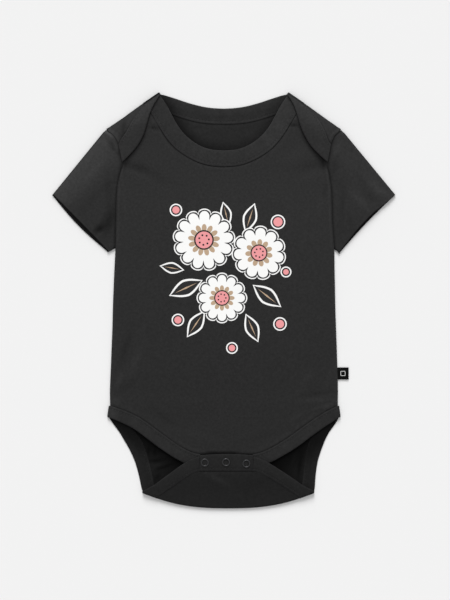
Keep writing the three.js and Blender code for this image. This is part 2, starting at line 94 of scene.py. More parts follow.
# Laps from the neck fold to the armhole: the seam of the binding and its free edge
LAPS = {
    -1: [
        Neck(79.5, 195.1, 63.2, 206.2),
        Neck(85.0, 188.0, 69.6, 196.0),
        Neck(90.3, 181.2, 73.8, 187.0),
        Neck(94.2, 174.6, 76.6, 177.2),
        Neck(97.8, 168.2, 80.2, 165.8),
        Neck(102.2, 162.0, 87.6, 152.8),
    ],
    1: [
        Neck(79.5, 195.1, 63.2, 206.2),
        Neck(86.5, 189.2, 69.4, 196.0),
        Neck(93.0, 182.6, 73.2, 186.0),
        Neck(98.0, 175.0, 76.4, 175.2),
        Neck(101.8, 167.4, 81.2, 164.0),
        Neck(104.4, 160.4, 89.6, 151.6),
    ],
}

# Sides of the front and back, down the armhole and the side seam
SIDES = [
    Side(169.9, -116.5, 116.5),
    Side(164, -109.4, 110.6),
    Side(156, -105.4, 107.2),
    Side(147, -103.6, 105.4),
    Side(138, -101.6, 104.0),
    Side(125, -104.4, 105.6),
    Side(111, -106.8, 107.6),
    Side(96, -107.5, 108.2),
    Side(81, -107.8, 108.6),
    Side(67, -108.1, 109.4),
    Side(53, -108.3, 110.5),
    Side(32, -109.3, 110.8),
    Side(12, -110.2, 111.2),
    Side(-8, -110.9, 111.6),
    Side(-28, -111.4, 112.3),
    Side(-48, -112.2, 113.0),
    Side(-66, -112.9, 113.6),
    Side(-80, -113.5, 114.0),
    Side(-92, -113.9, 114.2),
]
UNDERARM_ROW = 10
LAP_SIDE_ROWS = 2        # rows of SIDES along which the lap's cloth meets the sleeve
LAP_END_ROW = 4
LAP_END_Y = SIDES[LAP_END_ROW].y
LAP_ENDED = LAPS[-1] + [Neck(104.4, 156.0, 98.6, 138.0)]
LAPS_BEGIN = 55          # no lap reaches nearer to the middle
FAR_FROM_LAP = -20.0

# Leg edge of the front, from the side seam to the placket, about a middle that sways
FRONT_LEG = [
    Leg(113.7, -105.5, 115.3, -117.0, 0.2, 0),
    Leg(101.5, -110.5, 106.5, -121.5, 2.4, 0),
    Leg(88.2, -117.5, 94.3, -128.4, 4.0, 0),
    Leg(74.3, -127.3, 81.8, -137.5, 4.0, 0),
    Leg(61.7, -136.5, 69.9, -146.5, 3.9, 0),
    Leg(50.3, -144.2, 57.1, -154.8, 3.4, 0),
    Leg(40.9, -149.4, 46.6, -160.8, 3.0, 0),
    Leg(33.0, -152.6, 36.5, -165.6, 2.8, 0),
    Leg(26.3, -154.0, 26.9, -169.7, 2.8, 0),
]

# Leg edge of the back down to the crotch fold; dip is how far a row's middle hangs lower
BACK_LEG = [
    Leg(113.7, -105.5, 115.3, -117.0, 0.2, 0),
    Leg(104.5, -115.0, 111.2, -123.6, 0.4, 0),
    Leg(95.4, -124.0, 105.3, -131.6, 0.5, 0.3),
    Leg(88.8, -132.7, 100.8, -139.6, 0.8, 0.8),
    Leg(83.8, -141.5, 96.0, -149.6, 1.7, 1.6),
    Leg(80.3, -151.5, 92.1, -159.6, 2.4, 2.6),
    Leg(77.8, -162.0, 89.6, -169.6, 3.1, 4.2),
    Leg(75.9, -173.0, 87.9, -179.6, 3.8, 6.1),
    Leg(74.0, -184.5, 86.9, -187.0, 4.3, 8.1),
    Leg(71.0, -196.6, 86.0, -190.7, 4.6, 10.3),
]

# Flap's upper edge, from the crotch fold to the placket
FLAP = [
    Leg(71.0, -196.6, 86.0, -190.7, 4.6, 10.3),
    Leg(61.5, -190.2, 74.9, -184.9, 4.4, 9.5),
    Leg(52.6, -184.2, 65.0, -177.8, 4.2, 8.2),
    Leg(44.0, -178.6, 55.0, -170.8, 3.7, 6.0),
    Leg(35.6, -173.6, 45.2, -164.2, 3.1, 3.8),
    Leg(30.6, -171.4, 36.4, -159.2, 2.9, 1.6),
    Leg(26.3, -170.3, 27.2, -156.0, 2.8, 0),
]
FOLD_ROUNDING = 2.6
LOWEST_LAYER = 0.6       # the back's own middle lies below this where it rests
FOLD_LOW = 1.7           # underside of the flap where the cloth folds at the crotch
PLACKET_HALF = 26.6
PLACKET_TOP, PLACKET_BOTTOM = -154.5, -170.3
PLACKET_ARCH = 1.2

# Creases of the upper layer as it was smoothed out by hand, most of them low
CREASES = [
    Crease(-70, 172.6, -8, 5, 1.1, -1.3),
    Crease(-68, 177, -12, 4, 1.2, 0.5),
    Crease(70, 175.0, -3, 6, 1.2, -1.3),
    Crease(-85, 132, -16, 13, 4.0, -0.75),
    Crease(-84, 124, -24, 15, 4.0, 0.25),
    Crease(88, 134, 16, 14, 4.5, -0.45),
    Crease(88, 124, 18, 14, 4.0, 0.25),
    Crease(-68, 122, -18, 18, 5, -0.25),
    Crease(72, 144, 24, 14, 5, 0.25),
    Crease(101, 108, 76, 8, 2.0, -0.5),
    Crease(97, 96, 82, 12, 2.4, 0.3),
    Crease(100, 134, 86, 6, 2.6, -0.6),
    Crease(-99, 98, 96, 18, 2.6, 0.2),
    Crease(-89, -63, 66, 15, 3.4, 0.6),
    Crease(-98, -48, 72, 17, 3.4, -0.5),
    Crease(-104, -80, 66, 9, 2.6, 0.75),
    Crease(-95, -86, 40, 10, 3.0, -0.3),
    Crease(81, -82, 58, 13, 3.4, 0.3),
    Crease(91, -101, 3, 18, 2.2, 0.35),
    Crease(99, -107, 18, 12, 2.0, 0.45),
    Crease(94, -94, 8, 16, 2.4, -0.4),
    Crease(72, -118, 38, 7, 2.0, 0.4),
    Crease(104, -82, 68, 14, 2.4, 0.35),
    Crease(-60, -118, -34, 14, 3.0, -0.3),
    Crease(-108, -101, 10, 6, 3.5, 0.5),
    Crease(-30, -135, -12, 18, 3.4, 0.2),
    Crease(38, -138, 16, 16, 3.2, -0.2),
    Crease(-111.5, 153.5, -58, 8, 2.2, -0.9),
    Crease(-112.6, 165.6, -40, 8, 2.4, 1.1),
    Crease(-106.5, 155, -70, 6, 2.2, 0.5),
    Crease(-100, 172, 78, 9, 2.4, -0.8),
    Crease(-124.5, 71, 38, 6, 3.4, -1.6),
    Crease(-115, 77, 76, 14, 5.5, -1.05),
    Crease(-115, 104, 93, 26, 4.0, -0.3),
    Crease(-130, 128, 52, 14, 3.8, 0.3),
    Crease(-133, 98, 58, 14, 3.2, -0.25),
    Crease(113, 148, 66, 9, 2.4, 0.5),
    Crease(111, 134, 80, 10, 3.2, -0.5),
    Crease(111, 170, 60, 6, 2.6, -0.5),
    Crease(127, 132, -54, 14, 3.4, 0.35),
    Crease(135, 122, -50, 15, 3.0, -0.4),
    Crease(136, 98, -46, 14, 4.0, 0.75),
    Crease(147, 103, -42, 14, 3.0, -0.3),
    Crease(155, 110, -40, 14, 4.4, 0.6),
    Crease(118, 92, 84, 24, 3.4, -0.35),
    Crease(127, 76, -70, 10, 2.8, -0.3),
    Crease(82, 174.7, -71, 9, 1.5, -0.35),
    Crease(97, 161, -56, 7, 1.6, 0.4),
    Crease(-5, -180.5, -31, 12, 3.0, 0.85),
    Crease(32, -184, 24, 14, 4.0, -0.25),
]

# Creases of the back where its inside shows, in the leg openings and under the neck
INSIDE_CREASES = [
    Crease(-75.2, -149.5, 80, 5, 1.4, -0.8),
    Crease(-69.0, -151.3, 85, 5, 1.4, -0.8),
    Crease(-68.0, -160.5, 3, 7, 1.4, -0.9),
    Crease(-59.6, -166.8, 21, 11, 1.5, -1.0),
    Crease(-66.4, -177.0, 40, 4, 2.0, -0.7),
    Crease(-64.0, -156.5, 10, 8, 2.2, 0.5),
    Crease(-65.0, -165.0, 12, 8, 1.9, 0.6),
    Crease(-72.0, -171.5, 30, 6, 2.0, 0.5),
    Crease(-89.0, -134.0, -50, 10, 1.8, -0.5),
    Crease(82.0, -160.0, 88, 14, 1.8, 0.6),
    Crease(76.0, -166.0, 82, 11, 1.8, -0.7),
    Crease(70.0, -160.0, 70, 9, 2.2, 0.5),
    Crease(-22, 168, 9, 18, 2.4, 0.35),
    Crease(26, 163, -12, 16, 2.2, 0.35),
]

# Sleeves: outer corner and tip of the hem, its bow, how far the upper layer stops short,
# where along the hem it begins to, and how much painted highlight the sleeve has along its upper fold
Sleeve = namedtuple("Sleeve", "side outer tip bow set_back opens glow")
SLEEVES = {
    "sleeve_left": Sleeve(-1, (-171.0, 104.6), (-116.3, 48.8), 2.6, 4.0, 0.0, 0.68),
    "sleeve_right": Sleeve(1, (171.0, 104.9), (115.9, 47.4), -1.4, 2.4, 0.4, 0.14),
}
SLEEVE_GAPE = 1.4
SEAM_TUCK = 1.3          # how far a sleeve's upper layer runs under the body's edge
SEAM_SINK = 0.95         # how far it lies below the body's, just outside the seam
SLEEVE_CROWN = 1.2
SLEEVE_LENGTH = 58       # mean length from armhole to hem, for the map
SLEEVE_LOWER_TOP = 1.1   # between the two layers of a sleeve

SNAPS = [(-18.9, -161.9), (2.3, -161.5), (22.6, -162.9)]
RING_OUTER, RING_INNER = 4.1, 2.7
RING_SEAT, RING_RISE = 1.15, 0.6   # middle of the ring over the cloth's middle, and half its height
RING_FLAT = -0.6         # the section's circle is cut off here, where the ring rests
RING_SECTION, RING_STEPS = 12, 36

LABEL_LEFT, LABEL_RIGHT = 112.6, 124.9
LABEL_TOP, LABEL_BOTTOM = -67.2, -79.2
LABEL_HIGH, LABEL_LOW = 0.95, 0.32    # middles of its two layers
LABEL_TAPE = 0.3
LABEL_PARTS, LABEL_TURNS = 6, 8       # parts of its length and width, and of its fold
LABEL_WAVE, LABEL_WAVE_TURN = 0.08, 1.3
BORDER_REACH, BORDER_LENGTH, BORDER_WIDTH, BORDER_THREAD = 2.2, 4.7, 0.35, 0.12
BORDER_SHIFT, BORDER_LIFT = 0.6, 0.2  # of its middle, from the middle of the upper layer

STITCH, STITCH_PITCH = 2.3, 3.0
THREAD_WIDTH, THREAD_HEIGHT = 0.4, 0.24
STITCH_SEAT = 0.8        # height of the stitches out of the middle of the strip's cloth
INK = 0.03               # thickness of one layer of printed ink
INK_CLEAR = 0.05         # how far the lowest ink's middle lies above the cloth
RIM_ANGLE = math.radians(50)    # edges sharper than this aren't shaded as round
LAP_DEPTH = 12           # rows of a lap between its fold and its binding
PLACKET_PARTS = 26
SLEEVE_SIDE_PARTS = 60
LEAST_SPOT = 0.02 * MM   # points closer than this are one
RING_SPOT, STRIP_SPOT, SMALLEST_SPOT = 0.01 * MM, 0.005 * MM, 0.001 * MM

# Stretches over which heights and tones change, from the first value to the second. They run
# along Y, and those named for the width run along X, away from the middle.
NECKS_CROSS, NECKS_CROSS_WIDTH = (150, 185), (80, 105)
LEG_SEAMS = (-105, -88)
CROWN_RISES, CROWN_FALLS = (-125, -55), (70, 128)
WAVES_START, WAVES_END = (-150, -120), (140, 165)
FLAP_LIFTS, SNAPS_LIFT = (-212, -176), (-196, -168)
UNDERARM = (48, 58)
ARMHOLE_ENDS = (150, 168)
LENGTH_DARKENS = (-150, 120)
SLEEVE_UNDER_LAP = (118, 138)

# Places along Y where the flap, the leg openings and the neck's inside begin
FLAP_END, LEGS_END, NECK_START = -150, -95, 125

# Tones, as shares of the cloth's own colour. The flap and its strips are darker, and the sleeve's lower
# layer gets painted shade.
FLAP_CLOTH_TONE, FLAP_STRIP_TONE = 0.56, 0.6
SLEEVE_LOWER_PAINTED_SHADE = 0.4

# Picture
SUN_STRENGTH, SKY_STRENGTH = 2.9, 0.65
SUN_SPREAD, SUN_TILT, SUN_TURN = 30, -60, 4      # degrees
VIEW_HEIGHT = 0.6        # metres across the picture's longer side
VIEW_MIDDLE = (1.25, 0.35)
VIEW_LEVEL = 0.003       # metres: the height of cloth for which the picture's scale holds
SENSOR, FOCAL_LENGTH = 36, 100
VIEW_END, FLOOR_REACH = 20, 3    # metres


# Tables

def mix(a, b, share):
    return a + (b - a) * share


def ease(value, low, high):
    share = min(1.0, max(0.0, (value - low) / (high - low)))
    return share * share * (3 - 2 * share)


def row_at(table, place):
    """The table's row at a place counted in rows, with smooth curves through its own rows."""
    start = min(int(place), len(table) - 2)
    share = place - start
    a = table[max(start - 1, 0)]
    b, c = table[start], table[start + 1]
    d = table[min(start + 2, len(table) - 1)]
    values = []
    for before, low, high, after in zip(a, b, c, d):
        bend = (2 * before - 5 * low + 4 * high - after) * share ** 2
        turn = (3 * (low - high) + after - before) * share ** 3
        values.append(low + 0.5 * ((high - before) * share + bend + turn))
    return type(b)(*values)


def place_of(table, column, value):
    """The place in rows where a column that runs one way has a value."""
    rising = getattr(table[-1], column) > getattr(table[0], column)
    low, high = 0.0, len(table) - 1.0
    for halving in range(HALVINGS):
        middle = (low + high) / 2
        if (getattr(row_at(table, middle), column) < value) == rising:
            low = middle
        else:
            high = middle
    return (low + high) / 2


def spaced(*stretches):
    """Places from nought on, in stretches that each have an end and a number of parts."""
    places = [0.0]
    for end, parts in stretches:
        start = places[-1]
        places += [mix(start, end, (k + 1) / parts) for k in range(parts)]
    return places


def steps_between(count, spacing):
    """Places from 0 to count rows, each row cut in as many parts as the spacing gives."""
    places = [0.0]
    for row, parts in enumerate(spacing):
        if row < count:
            places += [row + (k + 1) / parts for k in range(parts)]
    return places


# Heights of the layers

WAVE_SLICE, GATHER_SLICE = 3.7, 8.1     # of the noise in three dimensions
WIDE_WAVE, SMALL_WAVE, SLEEVE_WAVE = (62, 0.5), (23, 0.16), (34, 0.5)    # size and height


def crease_height(creases, x, y):
    height = 0.0
    for crease in creases:
        turn = math.radians(crease.turn)
        dx, dy = x - crease.x, y - crease.y
        along = dx * math.cos(turn) + dy * math.sin(turn)
        across = dy * math.cos(turn) - dx * math.sin(turn)
        if abs(along) < 3 * crease.length and abs(across) < 3 * crease.width:
            height += crease.height * math.exp(
                -((along / crease.length) ** 2) - (across / crease.width) ** 2
            )
    return height


def painted_crease_shade(x, y):
    """Painted shade in furrows, and a painted highlight on the ridges beside them."""
    darkest, per_millimetre = 0.3, 0.4
    return max(darkest, 1 + per_millimetre * crease_height(CREASES, x, y))


def soft_wave(x, y, size, height):
    return height * noise.noise(Vector((x / size, y / size, WAVE_SLICE)))


def near_neck(x, y):
    """One where the front's and the back's neck bindings cross."""
    return (1 - ease(abs(x), *NECKS_CROSS_WIDTH)) * ease(y, *NECKS_CROSS)


def front_under(x, y):
    """Underside of the front, over the back and its bindings."""
    legs = 1 - ease(y, *LEG_SEAMS)
    across = 1 - min(1.0, abs(x / HALF_CHEST)) ** 3
    crown = CROWN * across * ease(y, *CROWN_RISES) * (1 - ease(y, *CROWN_FALLS))
    bindings = (SOLID_BINDING - SOLID_CLOTH) * max(near_neck(x, y), legs)
    waves = soft_wave(x, y, *WIDE_WAVE) * across + soft_wave(x, y, *SMALL_WAVE)
    waves *= ease(y, *WAVES_START) * (1 - ease(y, *WAVES_END))
    return SOLID_CLOTH + GAP + bindings + crown + waves + crease_height(CREASES, x, y)


def lap_under(x, y):
    return front_under(x, y) + SOLID_CLOTH + GAP + (SOLID_BINDING - SOLID_CLOTH) * near_neck(x, y)


def flap_under(x, y):
    closed = front_under(x, y) + SOLID_BINDING + GAP + SNAP_SPACE * ease(y, *SNAPS_LIFT)
    return mix(FOLD_LOW, closed, ease(y, *FLAP_LIFTS))


def back_under(x, y):
    """The back lies on the floor, except for its inside's ridges."""
    return max(0.0, crease_height(INSIDE_CREASES, x, y))


# Rows of points across a panel, as columns counted from the middle

NECK_PARTS = [7, 6, 6, 5, 5, 5, 6, 6]
SHOULDER_COUNT = len(SHOULDER_PARTS)
SHOULDER = [place / SHOULDER_COUNT for place in steps_between(SHOULDER_COUNT, SHOULDER_PARTS)]
NECK_LAST = len(FRONT_NECK) - 1
HALF = steps_between(NECK_LAST, NECK_PARTS) + [NECK_LAST + share for share in SHOULDER[1:]]


def column_share(place):
    """A column's distance from the middle, as a share of the panel's half width."""
    if place <= NECK_LAST:
        return row_at(FRONT_NECK, place).seam_x / SHOULDER_TIP[0]
    neck_end = FRONT_NECK[-1].seam_x / SHOULDER_TIP[0]
    return mix(neck_end, 1.0, place - NECK_LAST)


COLUMNS = [(-1, place) for place in reversed(HALF[1:])] + [(1, place) for place in HALF]
SHARES = [side * column_share(place) for side, place in COLUMNS]
NECK_COLUMNS = range(len(SHOULDER) - 1, len(SHARES) - len(SHOULDER) + 1)
HEM_COLUMNS = range(3, len(SHARES) - 3)


def shoulder_y(x):
    """Height of the shoulder's fold in the picture."""
    share = (abs(x) - SHOULDER_NECK[0]) / (SHOULDER_TIP[0] - SHOULDER_NECK[0])
    return mix(SHOULDER_NECK[1], SHOULDER_TIP[1], share)


def body_rows(neck):
    """Rows from the neck and shoulders down the armholes and side seams. Above the underarm
    each row is the top one, lowered and made narrower."""
    top = []
    for (side, place), share in zip(COLUMNS, SHARES):
        if place <= len(neck) - 1:
            top.append(row_at(neck, place).seam_y)
        else:
            top.append(shoulder_y(share * SHOULDER_TIP[0]))
    underarm = SIDES[UNDERARM_ROW].y
    rows = []
    parts = [max(2, round((a.y - b.y) / FINE)) for a, b in zip(SIDES, SIDES[1:])]
    parts[0] = TOP_PARTS
    for place in steps_between(len(SIDES) - 1, parts):
        side = row_at(SIDES, place)
        middle, half = (side.left + side.right) / 2, (side.right - side.left) / 2
        rise = (side.y - underarm) / (SHOULDER_TIP[1] - underarm)
        rows.append([
            (middle + share * half, mix(underarm, top[i], rise) if rise > 0 else side.y)
            for i, share in enumerate(SHARES)
        ])
    return rows


def dipped_row(leg):
    """One row between the legs, which hangs lower in its middle."""
    return [
        (leg.sway + share * leg.seam_x, leg.seam_y - leg.dip * (1 - abs(share) ** FOLD_ROUNDING))
        for share in SHARES
    ]


def groove(distance, width):
    """One at no distance, falling off smoothly to both sides."""
    return math.exp(-((distance / width) ** 2))


def across_seam(row):
    """For each point of a seam, the point and the way across the seam."""
    ways = []
    for i, point in enumerate(row):
        before, after = Vector(row[max(i - 1, 0)][:2]), Vector(row[min(i + 1, len(row) - 1)][:2])
        along = (after - before).normalized()
        ways.append((Vector(point[:2]), Vector((-along.y, along.x))))
    return ways


PRESS_REACH = 9          # how far from a seam a panel is pressed or gathered
GATHER_SIZE = 3.4
GATHER_AWAY, GATHER_WIDTH = 2.6, 1.8


class Panel:
    """Rows of a panel's points with their heights and their tones of painted shade and highlight,
    pressed in along its seams.
    Rolls gives what the panel's side edges add, by the distance from the edge and by Y."""

    def __init__(self, rows, under, rolls=None):
        self.flat = rows
        self.tones = [[painted_crease_shade(x, y) for x, y in row] for row in rows]
        self.rows = [[(x, y, under(x, y) + HALF_CLOTH) for x, y in row] for row in rows]
        if rolls:
            for r, row in enumerate(rows):
                for c, (x, y) in enumerate(row):
                    lift, tone = rolls(min(x - row[0][0], row[-1][0] - x), y)
                    self.lift(r, c, lift, tone)

    def lift(self, r, c, height, tone):
        x, y, z = self.rows[r][c]
        self.rows[r][c] = (x, y, z + height)
        self.tones[r][c] *= tone

    def press(self, seam, columns, depth=0.4, width=1.0, dark=0.5, ridge=0.14):
        """Presses the panel in along one of its rows, with a low gathered ridge beside it. Dark is the
        painted shade in the pressed groove, and the ridge gets a painted highlight.
        """
        ways = across_seam(seam)
        for r, row in enumerate(self.flat):
            for c in columns:
                point, way = ways[c]
                distance = abs((Vector(row[c]) - point).dot(way))
                if distance < PRESS_REACH:
                    across, along = point.x / GATHER_SIZE, point.y / GATHER_SIZE
                    gather = noise.noise(Vector((across, along, GATHER_SLICE)))
                    rise = ridge * (1 + 2.4 * gather) * groove(distance - GATHER_AWAY, GATHER_WIDTH)
                    hollow = groove(distance, width) * (1 + 0.7 * gather)
                    # Painted shade in the groove, painted highlight on the gathered ridge
                    self.lift(r, c, rise - depth * hollow, 1 - dark * hollow + 0.5 * rise)


def turned_over(lower, upper, way_out, turns=TURN_STEPS):
    """Rows of a fold, from just after the lower row to just before the upper one."""
    rows = []
    for step in range(1, turns):
        angle = math.pi * step / turns
        row = []
        for low, high in zip(lower, upper):
            radius = (high[2] - low[2]) / 2
            out = radius * math.sin(angle)
            row.append((
                low[0] + way_out[0] * out,
                low[1] + way_out[1] * out,
                low[2] + radius * (1 - math.cos(angle)),
            ))
        rows.append(row)
    return rows


# Making meshes

def lay(bm, rows, uv_rows, tones=None):
    """Lays a grid on rows of points in millimetres, with the cloth's own flat places as its map
    and a tone of painted shade or highlight at each point."""
    across, down = len(rows[0]), len(rows)
    flat = bm.loops.layers.uv.get("cloth") or bm.loops.layers.uv.new("cloth")
    shade = bm.verts.layers.float.get("shade") or bm.verts.layers.float.new("shade")
    grid = bmesh.ops.create_grid(bm, x_segments=across - 1, y_segments=down - 1, size=1)
    for i, vert in enumerate(grid["verts"]):
        row, column = divmod(i, across)
        vert.co = Vector(rows[row][column]) * MM
        vert[shade] = tones[row][column] if tones else 1.0
        for loop in vert.link_loops:
            loop[flat].uv = Vector(uv_rows[row][column][:2]) * MM


def run_lengths(points):
    lengths = [0.0]
    for a, b in zip(points, points[1:]):
        lengths.append(lengths[-1] + (Vector(b) - Vector(a)).length)
    return lengths


def piece_from(bm, name, materials, weld=LEAST_SPOT):
    """Turns a finished bmesh into an object at the origin, with its doubles merged."""
    bmesh.ops.remove_doubles(bm, verts=bm.verts, dist=weld)
    bmesh.ops.dissolve_degenerate(bm, edges=bm.edges, dist=weld)
    bmesh.ops.recalc_face_normals(bm, faces=bm.faces)
    mesh = bpy.data.meshes.new(name)
    for face in bm.faces:
        face.smooth = True
    bm.to_mesh(mesh)
    bm.free()
    piece = bpy.data.objects.new(name, mesh)
    bpy.context.scene.collection.objects.link(piece)
    for material in materials:
        mesh.materials.append(material)
    return piece


def give_thickness(piece, thickness, inside=0):
    """Gives a sheet its wall, half to each side. Inside counts on to the inner face's material."""
    wall = piece.modifiers.new("wall", "SOLIDIFY")
    wall.thickness = thickness * MM
    wall.offset = 0
    wall.use_even_offset = False
    wall.material_offset = inside
    graph = bpy.context.evaluated_depsgraph_get()
    finished = bpy.data.meshes.new_from_object(piece.evaluated_get(graph))
    piece.modifiers.clear()
    piece.data = finished


def shade_points(piece, tone):
    """Makes each point of the cloth lighter or darker, as a share of its tone so far: painted shade and
    highlight.
    """
    shade = piece.data.attributes["shade"].data
    for vert in piece.data.vertices:
        shade[vert.index].value *= tone(*(vert.co / MM))


# Finishes

def new_node(tree, kind, **values):
    node = tree.nodes.new(kind)
    for name, value in values.items():
        setattr(node, name, value)
    return node


def arithmetic(tree, operation, *inputs):
    node = new_node(tree, "ShaderNodeMath", operation=operation)
    for socket, value in zip(node.inputs, inputs):
        if isinstance(value, bpy.types.NodeSocket):
            tree.links.new(value, socket)
        else:
            socket.default_value = value
    return node.outputs[0]


def fine_noise(tree, place, scale, detail):
    texture = new_node(tree, "ShaderNodeTexNoise")
    texture.inputs["Scale"].default_value = scale
    texture.inputs["Detail"].default_value = detail
    tree.links.new(place, texture.inputs["Vector"])
    return texture.outputs["Fac"]


WALE, COURSE = 0.85, 0.7     # width and height of one loop of the knit


def knit_relief(tree, place):
    """Height of plain jersey: columns of small leaning loops."""
    axes = new_node(tree, "ShaderNodeSeparateXYZ")
    tree.links.new(place, axes.inputs[0])
    across, along = 2 * math.pi / (WALE * MM), 2 * math.pi / (COURSE * MM)
    columns = arithmetic(tree, "SINE", arithmetic(tree, "MULTIPLY", axes.outputs["X"], across))
    lean = arithmetic(tree, "MULTIPLY", arithmetic(tree, "ABSOLUTE", columns), 1.8)
    rows = arithmetic(tree, "MULTIPLY_ADD", axes.outputs["Y"], along, lean)
    loops = arithmetic(tree, "SINE", rows)
    return arithmetic(tree, "MULTIPLY_ADD", loops, 0.35, arithmetic(tree, "ABSOLUTE", columns))


def new_finish(name, roughness, shine):
    """A material and its shader, still without its colour."""
    material = bpy.data.materials.new(name)
    material.use_nodes = True
    surface = material.node_tree.nodes["Principled BSDF"]
    surface.inputs["Roughness"].default_value = roughness
    surface.inputs["Specular IOR Level"].default_value = shine
    return material, surface


def colour_surface(tree, surface, colour, tone):
    """Gives a surface its colour, lighter or darker by a tone."""
    tint = new_node(tree, "ShaderNodeVectorMath", operation="SCALE")
    tint.inputs[0].default_value = colour
    tree.links.new(tone, tint.inputs["Scale"])
    tree.links.new(tint.outputs[0], surface.inputs["Base Color"])


def roughen_surface(tree, surface, height, strength, distance):
    bump = new_node(tree, "ShaderNodeBump")
    bump.inputs["Strength"].default_value = strength
    bump.inputs["Distance"].default_value = distance * MM
    tree.links.new(height, bump.inputs["Height"])
    tree.links.new(bump.outputs[0], surface.inputs["Normal"])


def cloth_finish(name, colour, sheen, relief):
    """Jersey: a knit relief, a nap of fine fibres, uneven dye and a soft sheen, with each point's
    painted shade and highlight from its shade attribute.
    """
    material, surface = new_finish(name, roughness=0.95, shine=0.08)
    tree = material.node_tree
    surface.inputs["Sheen Weight"].default_value = sheen
    surface.inputs["Sheen Roughness"].default_value = 0.45
    surface.inputs["Sheen Tint"].default_value = (0.75, 0.76, 0.8, 1)

    flat = new_node(tree, "ShaderNodeUVMap", uv_map="cloth").outputs["UV"]
    place = new_node(tree, "ShaderNodeTexCoord").outputs["Object"]
    nap = fine_noise(tree, place, scale=1500, detail=3)
    dye = fine_noise(tree, place, scale=420, detail=5)
    shade = new_node(tree, "ShaderNodeAttribute", attribute_name="shade").outputs["Fac"]
    speckle = arithmetic(tree, "MULTIPLY_ADD", nap, 0.36, 0.82)
    cloudy = arithmetic(tree, "MULTIPLY_ADD", dye, 0.7, 0.65)
    tone = arithmetic(tree, "MULTIPLY", arithmetic(tree, "MULTIPLY", speckle, cloudy), shade)
    colour_surface(tree, surface, colour, tone)

    knit = arithmetic(tree, "MULTIPLY_ADD", nap, 0.9, knit_relief(tree, flat))
    roughen_surface(tree, surface, knit, relief, distance=0.12)
    return material


def plain_finish(name, colour, roughness, metal=0.0, shine=0.3, grain=0.08, relief=0.1):
    """A hard or printed surface with a fine uneven grain."""
    material, surface = new_finish(name, roughness, shine)
    tree = material.node_tree
    surface.inputs["Metallic"].default_value = metal
    place = new_node(tree, "ShaderNodeTexCoord").outputs["Object"]
    speck = fine_noise(tree, place, scale=1100, detail=2)
    tone = arithmetic(tree, "MULTIPLY_ADD", speck, 2 * grain, 1 - grain)
    colour_surface(tree, surface, colour, tone)
    roughen_surface(tree, surface, speck, relief, distance=0.1)
    return material


jersey = cloth_finish("charcoal_jersey", (0.0240, 0.0239, 0.0239), sheen=0.04, relief=0.5)
jersey_inside = cloth_finish("charcoal_jersey_inside", (0.0235, 0.0234, 0.0234), sheen=0.02, relief=0.4)
rib = cloth_finish("charcoal_binding", (0.0252, 0.0251, 0.0251), sheen=0.04, relief=0.55)
thread = cloth_finish("charcoal_thread", (0.042, 0.042, 0.042), sheen=0.02, relief=0.1)
dark_metal = plain_finish("dark_snap_metal", (0.045, 0.045, 0.047), roughness=0.36, metal=0.8)
tape = plain_finish("black_woven_tape", (0.004, 0.004, 0.004), roughness=0.8, shine=0.05, relief=0.4)
white_ink = plain_finish("white_ink", (0.86, 0.86, 0.85), roughness=0.62, grain=0.03)
black_ink = plain_finish("black_ink", (0.011, 0.011, 0.012), roughness=0.55, grain=0.1)
tan_ink = plain_finish("tan_ink", (0.46, 0.33, 0.22), roughness=0.62, grain=0.04)
pink_ink = plain_finish("pink_ink", (0.78, 0.30, 0.31), roughness=0.62, grain=0.04)


# Front

def panel_map(rows):
    return [[(point[0], point[1]) for point in row] for row in rows]


RIDGE_AWAY, RIDGE_WIDTH, SEAM_WIDTH = 2.4, 1.2, 0.9    # beside a sleeve's seam


def side_rolls(distance, y):
    """The front's edge: a ridge beside the armhole's seam, and the side seam rolled down.
    Gives the height that it adds and the tone, which paints shade into the seam and highlights on the
    ridge and the rolled side seam."""
    armhole = ease(y, *UNDERARM) * (1 - ease(y, *ARMHOLE_ENDS))
    side = 1 - ease(y, *UNDERARM)
    ridge = groove(distance - RIDGE_AWAY, RIDGE_WIDTH)
    seam = groove(distance, SEAM_WIDTH)
    lift = armhole * (0.55 * ridge - 0.25 * seam) - side * 0.8 * groove(distance, 1.4)
    return lift, 1 + armhole * (0.16 * ridge - 0.3 * seam) + side * 0.12 * groove(distance, 2.5)


def under_lap(x, y):
    """How far a place of the front lies under a lap, across the lap's free edge."""
    if abs(x) < LAPS_BEGIN or y < LAP_END_Y - 8:
        return FAR_FROM_LAP
    edge_x = row_at(LAP_ENDED, place_of(LAP_ENDED, "edge_y", y)).edge_x
    return (abs(x) - edge_x) * mix(0.7, 1.0, ease(y, 150, 175))


def body_painted_shade(y):
    """Painted shade: the garment's lower end is a little darker than its top."""
    return mix(0.82, 1.0, ease(y, *LENGTH_DARKENS))


def lap_dark(x, y):
    """Painted shadow under a lap's free edge, widest where the lap stands off, by the armhole."""
    lower = 1 - (ease(y, 158, 178) if x < 0 else ease(y, 170, 188))
    depth = mix(0.5, 0.72, lower) * ease(y, 129, 140)
    return 1 - depth * ease(under_lap(x, y), mix(-2.0, -4.5, lower), 1.5)


FLAP_SHADOW = (-1.7, -153)   # middle of the shadow that the flap's placket casts


def front_tone(x, y):
    """Painted shade: the front darkens down its length, with painted shadow where it goes under the
    laps and the flap.
    """
    across, above = abs(x - FLAP_SHADOW[0]), abs(y - FLAP_SHADOW[1])
    flap = (1 - ease(above, 0.0, 4.0)) * (1 - ease(across, 10, 21))
    return lap_dark(x, y) * (1 - 0.65 * flap) * body_painted_shade(y)


FRONT_FALL = spaced((0.6, 15), (0.9, 13), (1.0, 12))   # from the hips down to the leg edge


